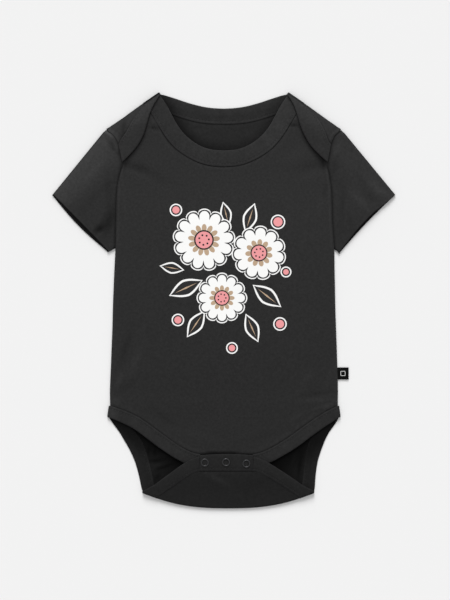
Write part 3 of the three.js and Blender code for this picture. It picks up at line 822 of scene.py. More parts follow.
def make_front():
    """The front, from its neck and shoulders down to the edge under its leg bindings."""
    rows = body_rows(FRONT_NECK)
    hips = rows[-1]
    half = FRONT_LEG[0].seam_x
    lowest = []
    for share in SHARES:
        leg = row_at(FRONT_LEG, place_of(FRONT_LEG, "seam_x", abs(share) * half))
        lowest.append((leg.sway + share * half, leg.seam_y))
    for fall in FRONT_FALL[1:]:
        rows.append([
            (mix(a[0], b[0], fall), mix(a[1], b[1], fall)) for a, b in zip(hips, lowest)
        ])
    panel = Panel(rows, front_under, side_rolls)
    panel.press(rows[0], NECK_COLUMNS)
    panel.press(rows[-1], HEM_COLUMNS, depth=0.3, dark=0.3)
    bm = bmesh.new()
    lay(bm, panel.rows, panel_map(rows), panel.tones)
    front = piece_from(bm, "front_cloth", [jersey])
    give_thickness(front, JERSEY)
    shade_points(front, lambda x, y, z: front_tone(x, y))
    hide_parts("front_panel")
    return front


# Back, with its laps and flap

def shoulder_out(side):
    """The way in which the shoulder's fold bulges."""
    along = Vector((SHOULDER_TIP[0] - SHOULDER_NECK[0], SHOULDER_TIP[1] - SHOULDER_NECK[1]))
    along.normalize()
    return side * -along.y, along.x


def lap_table(side):
    """The lap's table, run on to its end at the armhole."""
    seam, edge = SIDES[LAP_SIDE_ROWS], SIDES[LAP_END_ROW]
    if side < 0:
        return LAPS[-1] + [Neck(-seam.left, seam.y, -edge.left, edge.y)]
    return LAPS[1] + [Neck(seam.right, seam.y, edge.right, edge.y)]


def seam_place(table, side, near_tip):
    """A place on the seam of the lap's binding, by its share of the way to the fold's tip."""
    seam = row_at(table, (len(table) - 1) * near_tip)
    return side * seam.seam_x, seam.seam_y


def lap_rows(side, top):
    """A lap's rows and tones, from its binding's seam back to the fold at the shoulder; the tones paint
    a highlight on its ridge and shade at its seam.
    """
    count = len(SHOULDER)
    fold = top[:count] if side < 0 else top[-count:][::-1]
    table = lap_table(side)
    tip, corner = fold[0], (side * table[-1].seam_x, table[-1].seam_y)
    rows, tones = [], []
    for step in range(LAP_DEPTH + 1):
        share = step / LAP_DEPTH
        edge = row_at(SIDES, share * LAP_SIDE_ROWS)
        edge_x = edge.left if side < 0 else edge.right
        bow_x = edge_x - mix(tip[0], corner[0], share)
        bow_y = edge.y - mix(tip[1], corner[1], share)
        row, tone = [], []
        for point, near_tip in zip(fold, reversed(SHOULDER)):
            seam_x, seam_y = seam_place(table, side, near_tip)
            x = mix(point[0], seam_x, share) + bow_x * near_tip
            y = mix(point[1], seam_y, share) + bow_y * near_tip
            row.append((x, y, lap_under(x, y) + HALF_CLOTH))
        for i, (x, y, z) in enumerate(row):
            away = math.dist((x, y), row[0][:2])
            ridge = 0.45 * groove(away - RIDGE_AWAY, RIDGE_WIDTH) - 0.25 * groove(away, SEAM_WIDTH)
            near_tip = SHOULDER[-1 - i]
            by_seam = groove(math.dist((x, y), seam_place(table, side, near_tip)), 1.1)
            by_seam *= ease(near_tip, 0.2, 0.7)
            row[i] = (x, y, z + ridge * ease(share, 0.0, 0.5) - 0.25 * by_seam)
            tone.append(0.9 * painted_crease_shade(x, y) * lap_painted_highlight(x, y) + 0.3 * ridge - 0.35 * by_seam)
        rows.append(row)
        tones.append(tone)
    turned = turned_over(fold, rows[0], shoulder_out(side))
    rows = rows[::-1] + turned[::-1] + [fold]
    tones = tones[::-1] + [[1.0] * count for row in range(len(turned) + 1)]
    if side > 0:
        return [row[::-1] for row in rows], [row[::-1] for row in tones]
    return rows, tones


NECK_END = 63.9                # just inside the outer end of the front's neck edge
LEG_EDGE = (27.0, 115.0)       # its stretch on each side of the middle
LEG_MIDDLE = 2.8


def from_front_edge(x, y):
    """How far a place lies inside the neck's opening, from the front binding's free edge."""
    level = row_at(FRONT_NECK, place_of(FRONT_NECK, "edge_y", y)).edge_x - abs(x)
    across = min(abs(x), NECK_END)
    upright = y - row_at(FRONT_NECK, place_of(FRONT_NECK, "edge_x", across)).edge_y
    return min(0.8 * level, upright)


def from_front_leg(x, y):
    """How far a place lies below the front's leg edge."""
    across = min(max(abs(x - LEG_MIDDLE), LEG_EDGE[0]), LEG_EDGE[1])
    return row_at(FRONT_LEG, place_of(FRONT_LEG, "edge_x", across)).edge_y - y


def neck_inside_tone(x, y):
    """Painted shadow: the neck's inside darkens towards the front's edge, and most at the left."""
    darkest = mix(0.3, 0.58, ease(x, -50, 50))
    return mix(darkest, 0.92, ease(from_front_edge(x, y), -2, 13))


def leg_inside_tone(x, y):
    """Painted shadow: the inside is darkest just below the front's hem, and its creases get a painted
    highlight.
    """
    start, end = (0, 26) if x < 0 else (4, 34)
    depth = mix(0.06, 0.3, ease(from_front_leg(x, y), start, end))
    return depth * (1 + 0.8 * crease_height(INSIDE_CREASES, x, y))


def back_shade(x, y, z):
    """Painted shade where the inside shows in the openings; the flap is darker too."""
    if z > FOLD_LOW:
        return FLAP_CLOTH_TONE if y < FLAP_END else 1.0
    if z < back_under(x, y) + HALF_CLOTH:
        return 1.0
    if y < LEGS_END:
        return leg_inside_tone(x, y)
    return 0.8 * neck_inside_tone(x, y) if y > NECK_START else 1.0


LEG_PARTS, FLAP_PARTS, FLAP_TOP_PARTS = 7, 4, 9    # rows of points for each row of the tables


def make_back():
    """The back from its neck down, folded up at the crotch as the flap, with a lap at each
    shoulder. The neck's press only paints shade along its seam, because the back lies on the floor."""
    flat_rows = body_rows(BACK_NECK)
    last = len(BACK_LEG) - 1
    for place in steps_between(last, [LEG_PARTS] * last):
        flat_rows.append(dipped_row(row_at(BACK_LEG, place)))
    low = Panel(flat_rows, back_under)
    low.press(flat_rows[0], NECK_COLUMNS, depth=0.0)
    lower = low.rows
    parts = [FLAP_PARTS] * (len(FLAP) - 2) + [FLAP_TOP_PARTS]
    places = steps_between(len(FLAP) - 1, parts)
    flap = Panel([dipped_row(row_at(FLAP, place)) for place in places], flap_under)
    flap.press(flap.flat[-1], range(len(SHARES)), depth=0.15, dark=0.35)
    turned = turned_over(lower[-1], flap.rows[0], (0, -1))
    rows = lower + turned + flap.rows
    tones = low.tones + [[1.0] * len(SHARES) for row in turned] + flap.tones

    # The flap's map runs on below the fold, as it was cut
    maps = panel_map(flat_rows)
    middle = len(SHARES) // 2
    lengths = run_lengths([row[middle] for row in [lower[-1]] + turned + flap.rows])
    for row, length in zip(turned + flap.rows, lengths[1:]):
        maps.append([(x, lower[-1][0][1] - length) for x, y, z in row])

    bm = bmesh.new()
    lay(bm, rows, maps, tones)
    for side in (-1, 1):
        patch, patch_tones = lap_rows(side, lower[0])
        patch_map = [[(x, 2 * shoulder_y(x) - y) for x, y, z in row] for row in patch]
        lay(bm, patch, patch_map, patch_tones)
    back = piece_from(bm, "back_cloth", [jersey, jersey_inside])
    lowest = [face for face in back.data.polygons if face.center.z < LOWEST_LAYER * MM]
    if sum(face.normal.z for face in lowest) > 0:
        back.data.flip_normals()
    give_thickness(back, JERSEY, inside=1)
    shade_points(back, back_shade)
    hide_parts("back_panel")
    return back


# Bindings and plackets: strips folded over an edge, with a row of stitches near the seam

STITCH_INSET = 2.6       # of the stitches from the seam
PANEL_CLEAR = 0.35       # the hidden half of a strip stops this short of the panel's edge
HIDDEN_SHARE = 0.43      # how far the hidden half stands out, as a share of the half that shows
FACE_HEIGHT = 0.8        # points of a strip's outline above this are on its face, and pucker

Spot = namedtuple("Spot", "edge seam under turn out tone puff", defaults=[1.0])


# A spot's tone is painted shade and highlight along the strip
def spots_along(table, side, under, turn, parts, tone, flat_end=0):
    """Places along one table of seam and edge, on one side of the garment. The tone is a function
    of the place. Over the last rows of a flat end the strip is pressed down, where another seam
    catches it."""
    spots = []
    last = len(table) - 1
    for place in steps_between(last, parts):
        row = row_at(table, place)
        sway = getattr(row, "sway", 0)
        edge = Vector((sway + side * row.edge_x, row.edge_y))
        seam = Vector((sway + side * row.seam_x, row.seam_y))
        puff = 1 - 0.5 * ease(place, last - flat_end, last) if flat_end else 1.0
        spots.append(Spot(edge, seam, under, turn, (0, 0), tone, puff))
    return spots


def fold_over(spot, under, out):
    """Places round a fold, from the lower layer up."""
    return [
        Spot(spot.edge, spot.seam, under, step / TURN_STEPS, out, spot.tone)
        for step in range(1, TURN_STEPS)
    ]


def spot_point(spot, distance, outward):
    """A point of a strip, so far from its free edge and so far out from the cloth's middle."""
    flat = spot.edge + (spot.seam - spot.edge).normalized() * distance
    low = back_under(*flat) + HALF_CLOTH
    high = spot.under(*flat) + HALF_CLOTH
    angle = math.pi * spot.turn
    reach = (high - low) / 2 + outward
    shift = Vector(spot.out) * reach * math.sin(angle)
    return flat.x + shift.x, flat.y + shift.y, (low + high) / 2 - reach * math.cos(angle)


def strip_outline(width, showing, pucker):
    """Outline across a strip: distance from its free edge, and height out of the cloth's middle.
    Showing is nought where its inner face is seen, and one where its outer face is. The middle
    points of the profile make the furrow of the stitches, and the last ones turn in at the seam."""
    stitch = width - STITCH_INSET
    seen = [
        (0.0, 0.0), (0.12, 0.36), (0.45, 0.68), (1.1, 0.88), (2.4, 0.96), (width * 0.36, 0.99),
        (width * 0.55, 0.98), (stitch - 1.1, 0.95), (stitch - 0.45, 0.87), (stitch, 0.79),
        (stitch + 0.45, 0.87), (stitch + 1.1, 0.95), (width - 0.9, 0.93), (width - 0.35, 0.84),
        (width, 0.64), (width + 0.08, 0.5), (width - 0.35, 0.44),
    ]
    seen = [(along, high + pucker if high > FACE_HEIGHT else high) for along, high in seen]
    hidden = [(min(along, width - PANEL_CLEAR), HIDDEN_SHARE * high) for along, high in seen]
    outer = [(mix(h[0], s[0], showing), mix(h[1], s[1], showing)) for s, h in zip(seen, hidden)]
    inner = [(mix(s[0], h[0], showing), -mix(s[1], h[1], showing)) for s, h in zip(seen, hidden)]
    return outer + inner[:0:-1] + outer[:1]


def sew(bm, spots, way):
    """A row of stitches along one face of a strip."""
    shade = bm.verts.layers.float.get("shade") or bm.verts.layers.float.new("shade")
    points = []
    for spot in spots:
        width = (spot.seam - spot.edge).length
        shown = spot.turn if way > 0 else 1 - spot.turn
        height = STITCH_SEAT * spot.puff * mix(HIDDEN_SHARE, 1.0, shown)
        points.append(Vector(spot_point(spot, width - STITCH_INSET, way * height)))
    lengths = run_lengths(points)
    for stitch in range(int(lengths[-1] / STITCH_PITCH)):
        start = (stitch + 0.5) * STITCH_PITCH
        ends = [point_at(points, lengths, start + half) for half in (-STITCH / 2, STITCH / 2)]
        run, middle = ends[1] - ends[0], (ends[0] + ends[1]) / 2
        size = Matrix.Diagonal((run.length / 2, THREAD_WIDTH / 2, THREAD_HEIGHT / 2, 1))
        turn = run.to_track_quat("X", "Z").to_matrix().to_4x4()
        place = Matrix.Translation(middle * MM) @ turn @ size
        made = bmesh.ops.create_icosphere(bm, subdivisions=1, radius=MM, matrix=place)
        # The stitches take the strip's painted shade
        tone = spots[bisect(lengths, start) - 1].tone(middle.x, middle.y)
        for vert in made["verts"]:
            vert[shade] = tone


def point_at(points, lengths, distance):
    """The point that lies so far along a line of points."""
    for i in range(len(points) - 1):
        if lengths[i + 1] >= distance:
            share = (distance - lengths[i]) / (lengths[i + 1] - lengths[i])
            return points[i].lerp(points[i + 1], share)
    return points[-1]


def painted_strip_bands(from_seam, showing):
    """Painted shade: a strip is darker along its stitches, and its inner face in a band above them too,
    with a painted highlight close to the seam.
    """
    band = groove(from_seam - 6.5, 2.2) - 0.7 * groove(from_seam - 1.4, 0.8)
    return -0.2 * groove(from_seam - STITCH_INSET, 0.7) - 0.17 * (1 - showing) * band


PUCKERS = [(0.10, 2.4, 1.3), (0.14, 8.0, 5.1)]   # height, length and place in the noise


def make_strip(name, spots, finish):
    """A strip through all its places, closed at both ends."""
    rows, maps, tones = [], [], []
    travelled, before = 0.0, None
    for spot in spots:
        width = (spot.seam - spot.edge).length
        middle = Vector(spot_point(spot, width / 2, 0))
        travelled += (middle - before).length if before else 0.0
        before = middle
        pucker = sum(
            height * noise.noise(Vector((travelled / length, slice_y, 0)))
            for height, length, slice_y in PUCKERS
        )
        outline = strip_outline(width, spot.turn, pucker)
        outline = [(along, spot.puff * outward) for along, outward in outline]
        rows.append([spot_point(spot, along, outward) for along, outward in outline])
        maps.append([(along, travelled) for along, outward in outline])
        # Tones: the place's painted shade, a painted highlight on puckers that rise and painted shade
        # on those that sink, and the painted bands
        tones.append([
            spot.tone(x, y) * (1 + 0.7 * pucker + painted_strip_bands(width - along, spot.turn))
            for (x, y, z), (along, outward) in zip(rows[-1], outline)
        ])
    bm = bmesh.new()
    lay(bm, rows, maps, tones)
    bmesh.ops.remove_doubles(bm, verts=bm.verts, dist=STRIP_SPOT)
    bmesh.ops.holes_fill(bm, edges=[edge for edge in bm.edges if edge.is_boundary], sides=0)
    return piece_from(bm, name, [finish], weld=STRIP_SPOT)


def lap_painted_highlight(x, y):
    """Painted highlight: a lap is brightest along the shoulder's fold, which faces the light."""
    lit = 0.55 if x < 0 else 0.45
    return 1 + lit * (1 - ease(shoulder_y(x) - y, 0, 24))


def flap_tone(x, y):
    return FLAP_STRIP_TONE


def hem_tone(x, y):
    """Painted highlight on the hem at the left hip, over the painted shade down the length."""
    return body_painted_shade(y) * (1 + 0.35 * ease(-x, 102, 112))


def neck_tone(x, y):
    """Painted shadow under the laps, and a painted highlight on the right end of the neck binding
    before it goes under the lap.
    """
    return lap_dark(x, y) * (1 + 0.2 * ease(x, 25, 58))


def leg_back_tone(x, y):
    """The leg's binding, where its inner face shows below the front's hem, with painted shadow darkest
    just below that hem.
    """
    start, end = (2, 28) if x < 0 else (6, 42)
    return mix(0.14, 0.54, ease(from_front_leg(x, y), start, end))


STRIP_PARTS, BACK_STRIP_PARTS = 6, 5     # places for each row of the tables


def neck_binding_front_spots():
    left = spots_along(FRONT_NECK, -1, front_under, 1, NECK_PARTS, neck_tone)[::-1]
    return left + spots_along(FRONT_NECK, 1, front_under, 1, NECK_PARTS, neck_tone)[1:]


def neck_binding_back_spots():
    """One strip: the left lap's edge, over the fold, the back neck, and so to the right lap."""
    halves = []
    for side in (-1, 1):
        neck = spots_along(BACK_NECK, side, lap_under, 0, NECK_PARTS, neck_inside_tone)
        table = lap_table(side)
        parts = [STRIP_PARTS] * (len(table) - 1)
        lap = spots_along(table, side, lap_under, 1, parts, lap_painted_highlight, flat_end=1.6)
        halves.append(neck + fold_over(neck[-1], lap_under, shoulder_out(side)) + lap)
    return halves[0][::-1] + halves[1][1:]


def leg_binding_spots(side):
    """Front leg edge, round the side seam, back leg edge, over the crotch and up the flap."""
    front_parts = [STRIP_PARTS] * (len(FRONT_LEG) - 1)
    back_parts = [BACK_STRIP_PARTS] * (len(BACK_LEG) - 1)
    flap_parts = [STRIP_PARTS] * (len(FLAP) - 1)
    front = spots_along(FRONT_LEG, side, front_under, 1, front_parts, hem_tone)[::-1]
    back = spots_along(BACK_LEG, side, flap_under, 0, back_parts, leg_back_tone)
    flap = spots_along(FLAP, side, flap_under, 1, flap_parts, flap_tone)
    round_side = fold_over(front[-1], front_under, (side, 0))[::-1]
    over_crotch = fold_over(back[-1], flap_under, (0, -1))
    return front + round_side + back + over_crotch + flap


def placket_spots(under, edge_y, seam_y, arch):
    """A placket from side to side, whose free edge bows by its arch."""
    sway = FLAP[-1].sway
    spots = []
    for step in range(PLACKET_PARTS + 1):
        share = 2 * step / PLACKET_PARTS - 1
        bow = arch * (1 - share ** 2)
        x = sway + share * PLACKET_HALF
        edge = Vector((x, edge_y + bow))
        spots.append(Spot(edge, Vector((x, seam_y)), under, 1, (0, 0), flap_tone))
    return spots


def strip_size(spots):
    """Width and length of the face of a strip that shows, in metres."""
    widths = [(spot.seam - spot.edge).length for spot in spots]
    middles = [spot_point(spot, width / 2, 0) for spot, width in zip(spots, widths)]
    return sum(widths) / len(widths) * MM, run_lengths(middles)[-1] * MM


def make_bindings():
    """All the strips by their nodes, their sizes, and one mesh with all their stitches."""
    runs = {
        "neck_binding_front": neck_binding_front_spots(),
        "neck_binding_back": neck_binding_back_spots(),
        "leg_binding_left": leg_binding_spots(-1),
        "leg_binding_right": leg_binding_spots(1),
        "snap_placket_front": placket_spots(front_under, PLACKET_BOTTOM, PLACKET_TOP, 0),
        "snap_placket_back": placket_spots(flap_under, PLACKET_TOP, PLACKET_BOTTOM, PLACKET_ARCH),
    }
    strips, sizes = {}, {}
    stitches = bmesh.new()
    for node, spots in runs.items():
        strip = make_strip(node.replace("snap_", "") + "_strip", spots, rib)
        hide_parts(node)
        strips[node] = strip
        sizes[node] = strip_size(spots)
        for way in (-1, 1):
            sew(stitches, spots, way)
    return strips, sizes, piece_from(stitches, "binding_stitches", [thread], weld=SMALLEST_SPOT)


# Sleeves: flat tubes, as rings from the armhole to the hem

SLEEVE_RINGS = spaced((0.14, 12), (0.94, 24), (1.0, 5))
SLEEVE_TURNS = 6                 # faces round each of its folds
UPPER_FOLD_OUT = (0.775, 0.632)  # the ways in which the folds bulge, for the right sleeve
UNDER_FOLD_OUT = (0.3, -0.95)


def make_sleeve(node):
    """A sleeve's rings run along its upper layer, round its underarm fold, back along its lower
    layer and round its upper fold."""
    side, outer, tip, bow, set_back, opens, painted_fold_highlight = SLEEVES[node]
    places = [UNDERARM_ROW * i / SLEEVE_SIDE_PARTS for i in range(SLEEVE_SIDE_PARTS + 1)]
    armhole = []
    for place in places:
        row = row_at(SIDES, place)
        armhole.append(Vector((row.left if side < 0 else row.right, row.y)))
    last = len(armhole) - 1
    top_y, under_y = armhole[0].y, armhole[-1].y
    hem_out = Vector((side, -1)).normalized()

    def down(i):
        return (top_y - armhole[i].y) / (top_y - under_y)

    def between_folds(i):
        """Nought at the sleeve's folds, and one halfway between them."""
        return math.sin(math.pi * down(i))

    def spot(i, away, short, past_seam):
        """A place in the picture, from the armhole's point i towards the hem."""
        along = armhole[min(i + 1, last)] - armhole[max(i - 1, 0)]
        start = armhole[i] + Vector((-along.y, along.x)).normalized() * side * past_seam
        short *= mix(0.3, 1.0, between_folds(i)) * (ease(down(i), 0.0, opens) if opens else 1.0)
        hem = Vector(outer).lerp(Vector(tip), down(i)) + hem_out * (bow * between_folds(i) - short)
        return start.lerp(hem, away)

    def lower(i, away):
        flat = spot(i, away, 0, GAP)
        return flat.x, flat.y, HALF_CLOTH

    def upper(i, away):
        """A point of the upper layer, which sinks under the body's edge at the armhole."""
        flat = spot(i, away, set_back, -SEAM_TUCK)
        round_off = between_folds(i)
        x, y = armhole[i]
        seam_z = mix(front_under(x, y), lap_under(x, y), ease(y, *SLEEVE_UNDER_LAP)) + HALF_CLOTH
        hem_z = SOLID_CLOTH * 1.5 + GAP + SLEEVE_GAPE * round_off
        crown = SLEEVE_CROWN * round_off * math.sin(math.pi * away)
        seam = -SEAM_SINK * (1 - ease(from_seam(i, away), 0.2, 3.8))
        loose = crease_height(CREASES, *flat) * ease(away, 0, 0.08)
        waves = soft_wave(flat.x, flat.y, *SLEEVE_WAVE) * round_off * math.sin(math.pi * away)
        return flat.x, flat.y, mix(seam_z, hem_z, away) + crown + seam + loose + waves

    def from_seam(i, away):
        return away * (spot(i, 1, 0, 0) - armhole[i]).length - SEAM_TUCK * (1 - away)

    # Painted highlight along the upper fold, painted crease shade, and painted shadow in the groove
    # beside the armhole's seam
    def upper_tone(i, away):
        flat = spot(i, away, set_back, -SEAM_TUCK)
        lit = 1 + painted_fold_highlight * (1 - ease(i / last, 0.0, 0.5))
        shadow = 0.48 * ease(i / last, 0.0, 0.16)
        return lit * painted_crease_shade(*flat) * (1 - shadow * groove(from_seam(i, away) - 0.6, 2.8))

    def sided(way):
        return side * way[0], way[1]

    rows, maps, tones = [], [], []
    for away in SLEEVE_RINGS:
        top = [upper(i, away) for i in range(last + 1)]
        bottom = [lower(i, away) for i in range(last + 1)]
        over = turned_over(bottom[:1], top[:1], sided(UPPER_FOLD_OUT), SLEEVE_TURNS)
        beneath = turned_over(bottom[-1:], top[-1:], sided(UNDER_FOLD_OUT), SLEEVE_TURNS)
        row = top + [step[0] for step in reversed(beneath)] + bottom[::-1]
        row += [step[0] for step in over] + top[:1]
        rows.append(row)
        maps.append([(length, away * SLEEVE_LENGTH) for length in run_lengths(row)])
        top_tones = [upper_tone(i, away) for i in range(last + 1)]
        tones.append(top_tones + [1.0] * (len(row) - len(top) - 1) + top_tones[:1])
    bm = bmesh.new()
    lay(bm, rows, maps, tones)
    sleeve = piece_from(bm, node + "_cloth", [jersey, jersey_inside])
    give_thickness(sleeve, JERSEY, inside=1)
    # Painted shade on the lower layer, which shows in the gap at the hem
    shade_points(sleeve, lambda x, y, z: 1.0 if z > SLEEVE_LOWER_TOP else SLEEVE_LOWER_PAINTED_SHADE)
    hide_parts(node)
    return sleeve


# Snaps: a ring shows on the flap, and the other halves stay those of the frame

def make_snap(number, x, y):
    """A ring turned from its section, a circle cut off flat below."""
    bm = bmesh.new()
    middle, half = (RING_OUTER + RING_INNER) / 2, (RING_OUTER - RING_INNER) / 2
    base = flap_under(x, y) + HALF_CLOTH + RING_SEAT
    bmesh.ops.create_circle(bm, segments=RING_SECTION, radius=1)
    for vert in bm.verts:
        across, up = vert.co.x, vert.co.y
        height = base + max(up, RING_FLAT) * RING_RISE
        vert.co = Vector((x + middle + across * half, y, height)) * MM
    bmesh.ops.spin(
        bm, geom=bm.verts[:] + bm.edges[:], cent=Vector((x, y, base)) * MM, axis=(0, 0, 1),
        angle=2 * math.pi, steps=RING_STEPS, use_merge=True,
    )
    ring = piece_from(bm, f"snap_ring_{number}_metal", [dark_metal], weld=RING_SPOT)
    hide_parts(f"snap_ring_{number}")
    return ring


# Side label: a folded black tab with a plain woven border and no mark

def label_row(y, lift):
    """One row of the tape: out from the side seam, round its fold and back underneath."""
    radius = (LABEL_HIGH - LABEL_LOW) / 2
    fold_x = LABEL_RIGHT - radius
    shares = [k / LABEL_PARTS for k in range(LABEL_PARTS + 1)]
    row = [(mix(LABEL_LEFT, fold_x, share), y, LABEL_HIGH + lift * share) for share in shares]
    for turn in range(1, LABEL_TURNS):
        angle = math.pi * turn / LABEL_TURNS
        height = (LABEL_HIGH + LABEL_LOW) / 2 + radius * math.cos(angle) + lift
        row.append((fold_x + radius * math.sin(angle), y, height))
    return row + [(mix(fold_x, LABEL_LEFT, share), y, LABEL_LOW) for share in shares]


def make_label():
    rows, maps = [], []
    for step in range(LABEL_PARTS + 1):
        y = mix(LABEL_TOP, LABEL_BOTTOM, step / LABEL_PARTS)
        row = label_row(y, lift=LABEL_WAVE * math.sin(step * LABEL_WAVE_TURN))
        rows.append(row)
        maps.append([(length, y) for length in run_lengths(row)])
    bm = bmesh.new()
    lay(bm, rows, maps)
    label = piece_from(bm, "side_label_tape", [tape])
    give_thickness(label, LABEL_TAPE)
    label.data.set_sharp_from_angle(angle=RIM_ANGLE)
    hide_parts("side_label")
    return label


def make_label_border():
    """Border woven into the tape: four thin white runs a little in from its edges."""
    bm = bmesh.new()
    middle_x = (LABEL_LEFT + LABEL_RIGHT) / 2 + BORDER_SHIFT
    centre = Vector((middle_x, (LABEL_TOP + LABEL_BOTTOM) / 2, LABEL_HIGH + BORDER_LIFT))
    for quarter in range(4):
        turn = Matrix.Rotation(quarter * math.pi / 2, 4, "Z")
        out = Matrix.Translation((0, BORDER_REACH * MM, 0))
        size = Matrix.Diagonal((BORDER_LENGTH * MM, BORDER_WIDTH * MM, BORDER_THREAD * MM, 1))
        place = Matrix.Translation(centre * MM) @ turn @ out
        bmesh.ops.create_cube(bm, size=1, matrix=place @ size)
    border = piece_from(bm, "side_label_border", [white_ink], weld=SMALLEST_SPOT)
    border.data.set_sharp_from_angle(angle=RIM_ANGLE)
    return border


# Print: a bunch of daisies, with leaves and buds, in four inks

PRINT_MIDDLE = (4.2, 20.4)
Flower = namedtuple("Flower", "x y size petals turn level")
FLOWERS = [
    Flower(-24, 40, 29, 13, 0.1, 3),
    Flower(31, 27, 25, 11, 0.35, 6),
    Flower(-6, -18, 23, 12, 0.0, 3),
]
Leaf = namedtuple("Leaf", "x y turn length")
LEAVES = [
    Leaf(-42, -8, 205, 34),
    Leaf(39, -16, -38, 33),
    Leaf(22, 62, 72, 28),
    Leaf(-32, -44, 236, 29),
    Leaf(24, -48, -66, 28),
    Leaf(-2, 66, 104, 22),
    Leaf(-56, 12, 170, 22),
]
BUDS = [(50, 58, 6.0), (-52, 70, 5.0), (-50, -40, 5.0), (52, -44, 5.5), (4, -68, 4.6), (58, 8, 4.2)]

INK_RING = 3             # greatest width of one ring of a shape's faces
INK_LOOKS = 24           # directions in which a shape's reach is measured for its rings


def ink(bm, reach, x, y, level, turn=0.0, points=72):
    """A thin filled shape on the front: reach gives its radius in each direction."""
    far = max(reach(2 * math.pi * k / INK_LOOKS) for k in range(INK_LOOKS))
    rings = max(2, math.ceil(far / INK_RING))
    rows = []
    for ring in range(rings + 1):
        row = []
        for k in range(points + 1):
            angle = 2 * math.pi * (k % points) / points
            radius = reach(angle) * ring / rings
            px = PRINT_MIDDLE[0] + x + radius * math.cos(angle + turn)
            py = PRINT_MIDDLE[1] + y + radius * math.sin(angle + turn)
            height = front_under(px, py) + (SOLID_CLOTH + JERSEY) / 2 + INK_CLEAR + INK * level
            row.append((px, py, height))
        rows.append(row)
    lay(bm, rows, rows)


def daisy_reach(size, petals, depth):
    """Radius of a flower's outline: round petals with narrow notches between them."""
    return lambda angle: size * (1 - depth + depth * abs(math.cos(petals * angle / 2)) ** 0.45)


def leaf_reach(length, slim):
    """Radius of a pointed leaf about its middle."""
    def reach(angle):
        along, across = abs(math.cos(angle)), abs(math.sin(angle))
        pinch = (1 / slim - 1) * across ** 0.85 + 0.25 * along * (1 - along)
        return length / 2 / (1 + pinch)
    return reach


def disc(size):
    return lambda angle: size


def print_inks():
    """Fills one mesh for each ink, from the lowest shapes up."""
    inks = {name: bmesh.new() for name in ("white", "black", "tan", "pink")}
    for leaf in LEAVES:
        turn = math.radians(leaf.turn)
        ink(inks["white"], leaf_reach(leaf.length + 3.4, 0.46), leaf.x, leaf.y, 0, turn)
        ink(inks["black"], leaf_reach(leaf.length, 0.38), leaf.x, leaf.y, 1, turn)
        ink(inks["tan"], leaf_reach(leaf.length * 0.72, 0.07), leaf.x, leaf.y, 2, turn, 24)
    for x, y, size in BUDS:
        ink(inks["white"], disc(size + 1.3), x, y, 0, points=32)
        ink(inks["black"], disc(size), x, y, 1, points=32)
        ink(inks["pink"], disc(size - 1.4), x, y, 2, points=32)
    for x, y, size, petals, turn, level in FLOWERS:
        points = petals * 12
        ink(inks["white"], daisy_reach(size + 2.4, petals, 0.14), x, y, level, turn, points)
        ink(inks["black"], daisy_reach(size + 1.2, petals, 0.16), x, y, level + 1, turn, points)
        ink(inks["white"], daisy_reach(size, petals, 0.3), x, y, level + 2, turn, points)
        ink(inks["tan"], daisy_reach(size * 0.55, petals, 0.5), x, y, level + 3, turn, points)
        ink(inks["black"], disc(size * 0.34), x, y, level + 4, points=40)
        ink(inks["pink"], disc(size * 0.29), x, y, level + 5, points=40)
        for k in range(7):
            angle = 2 * math.pi * k / 7 + turn
            reach = size * 0.17
            ink(inks["black"], disc(size * 0.035), x + reach * math.cos(angle),
                y + reach * math.sin(angle), level + 6, points=10)
    return inks


def make_print():
    finishes = {"white": white_ink, "black": black_ink, "tan": tan_ink, "pink": pink_ink}
    pieces = []
    for name, bm in print_inks().items():
        layer = piece_from(bm, f"front_print_{name}", [finishes[name]])
        give_thickness(layer, INK)
        layer.data.set_sharp_from_angle(angle=RIM_ANGLE)
        pieces.append(layer)
    return pieces


# The garment

front_cloth = make_front()
back_cloth = make_back()
strips, strip_sizes, stitches = make_bindings()
sleeves = [make_sleeve(node) for node in SLEEVES]
rings = [make_snap(i + 1, x, y) for i, (x, y) in enumerate(SNAPS)]
label = make_label()
label_border = make_label_border()
prints = make_print()

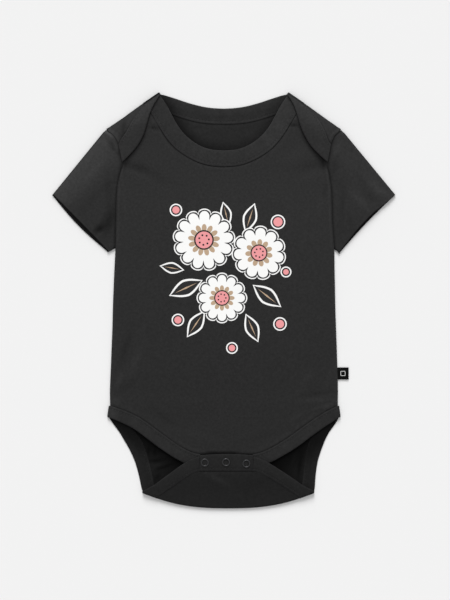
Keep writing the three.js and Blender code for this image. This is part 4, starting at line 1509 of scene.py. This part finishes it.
for piece in [front_cloth, back_cloth, *sleeves, *prints]:
    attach(piece, "root")
for piece in [*strips.values(), stitches]:
    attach(piece, "root")
for piece in rings:
    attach(piece, "root")
for piece in (label, label_border):
    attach(piece, "root")
for number in (1, 2, 3):
    for half in ("snap_socket", "snap_stud"):
        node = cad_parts[f"{half}_{number}"]
        node.data.materials.clear()
        node.data.materials.append(dark_metal)


# Floor, light and camera

def make_floor():
    bm = bmesh.new()
    bmesh.ops.create_grid(bm, x_segments=1, y_segments=1, size=FLOOR_REACH)
    mesh = bpy.data.meshes.new("floor")
    bm.to_mesh(mesh)
    bm.free()
    floor = bpy.data.objects.new("floor", mesh)
    bpy.context.scene.collection.objects.link(floor)
    pale, surface = new_finish("pale_floor", roughness=0.9, shine=0.1)
    surface.inputs["Base Color"].default_value = (0.8, 0.8, 0.8, 1)
    mesh.materials.append(pale)


def make_light():
    sun = bpy.data.lights.new("window_light", "SUN")
    sun.energy = SUN_STRENGTH
    sun.angle = math.radians(SUN_SPREAD)
    lamp = bpy.data.objects.new("window_light", sun)
    lamp.rotation_euler = (math.radians(SUN_TILT), 0, math.radians(SUN_TURN))
    bpy.context.scene.collection.objects.link(lamp)
    world = bpy.data.worlds.new("studio")
    world.use_nodes = True
    background = world.node_tree.nodes["Background"]
    background.inputs["Color"].default_value = (1, 1, 1, 1)
    background.inputs["Strength"].default_value = SKY_STRENGTH
    bpy.context.scene.world = world


def make_camera():
    """Looks straight down. The picture's middle is a little right of and above the origin."""
    lens = bpy.data.cameras.new("overhead")
    lens.sensor_width = SENSOR
    lens.lens = FOCAL_LENGTH
    lens.clip_end = VIEW_END
    camera = bpy.data.objects.new("overhead", lens)
    height = VIEW_HEIGHT * FOCAL_LENGTH / SENSOR
    camera.location = (VIEW_MIDDLE[0] * MM, VIEW_MIDDLE[1] * MM, height + VIEW_LEVEL)
    bpy.context.scene.collection.objects.link(camera)
    bpy.context.scene.camera = camera


make_floor()
make_light()
make_camera()
bpy.context.scene.view_settings.view_transform = "Standard"
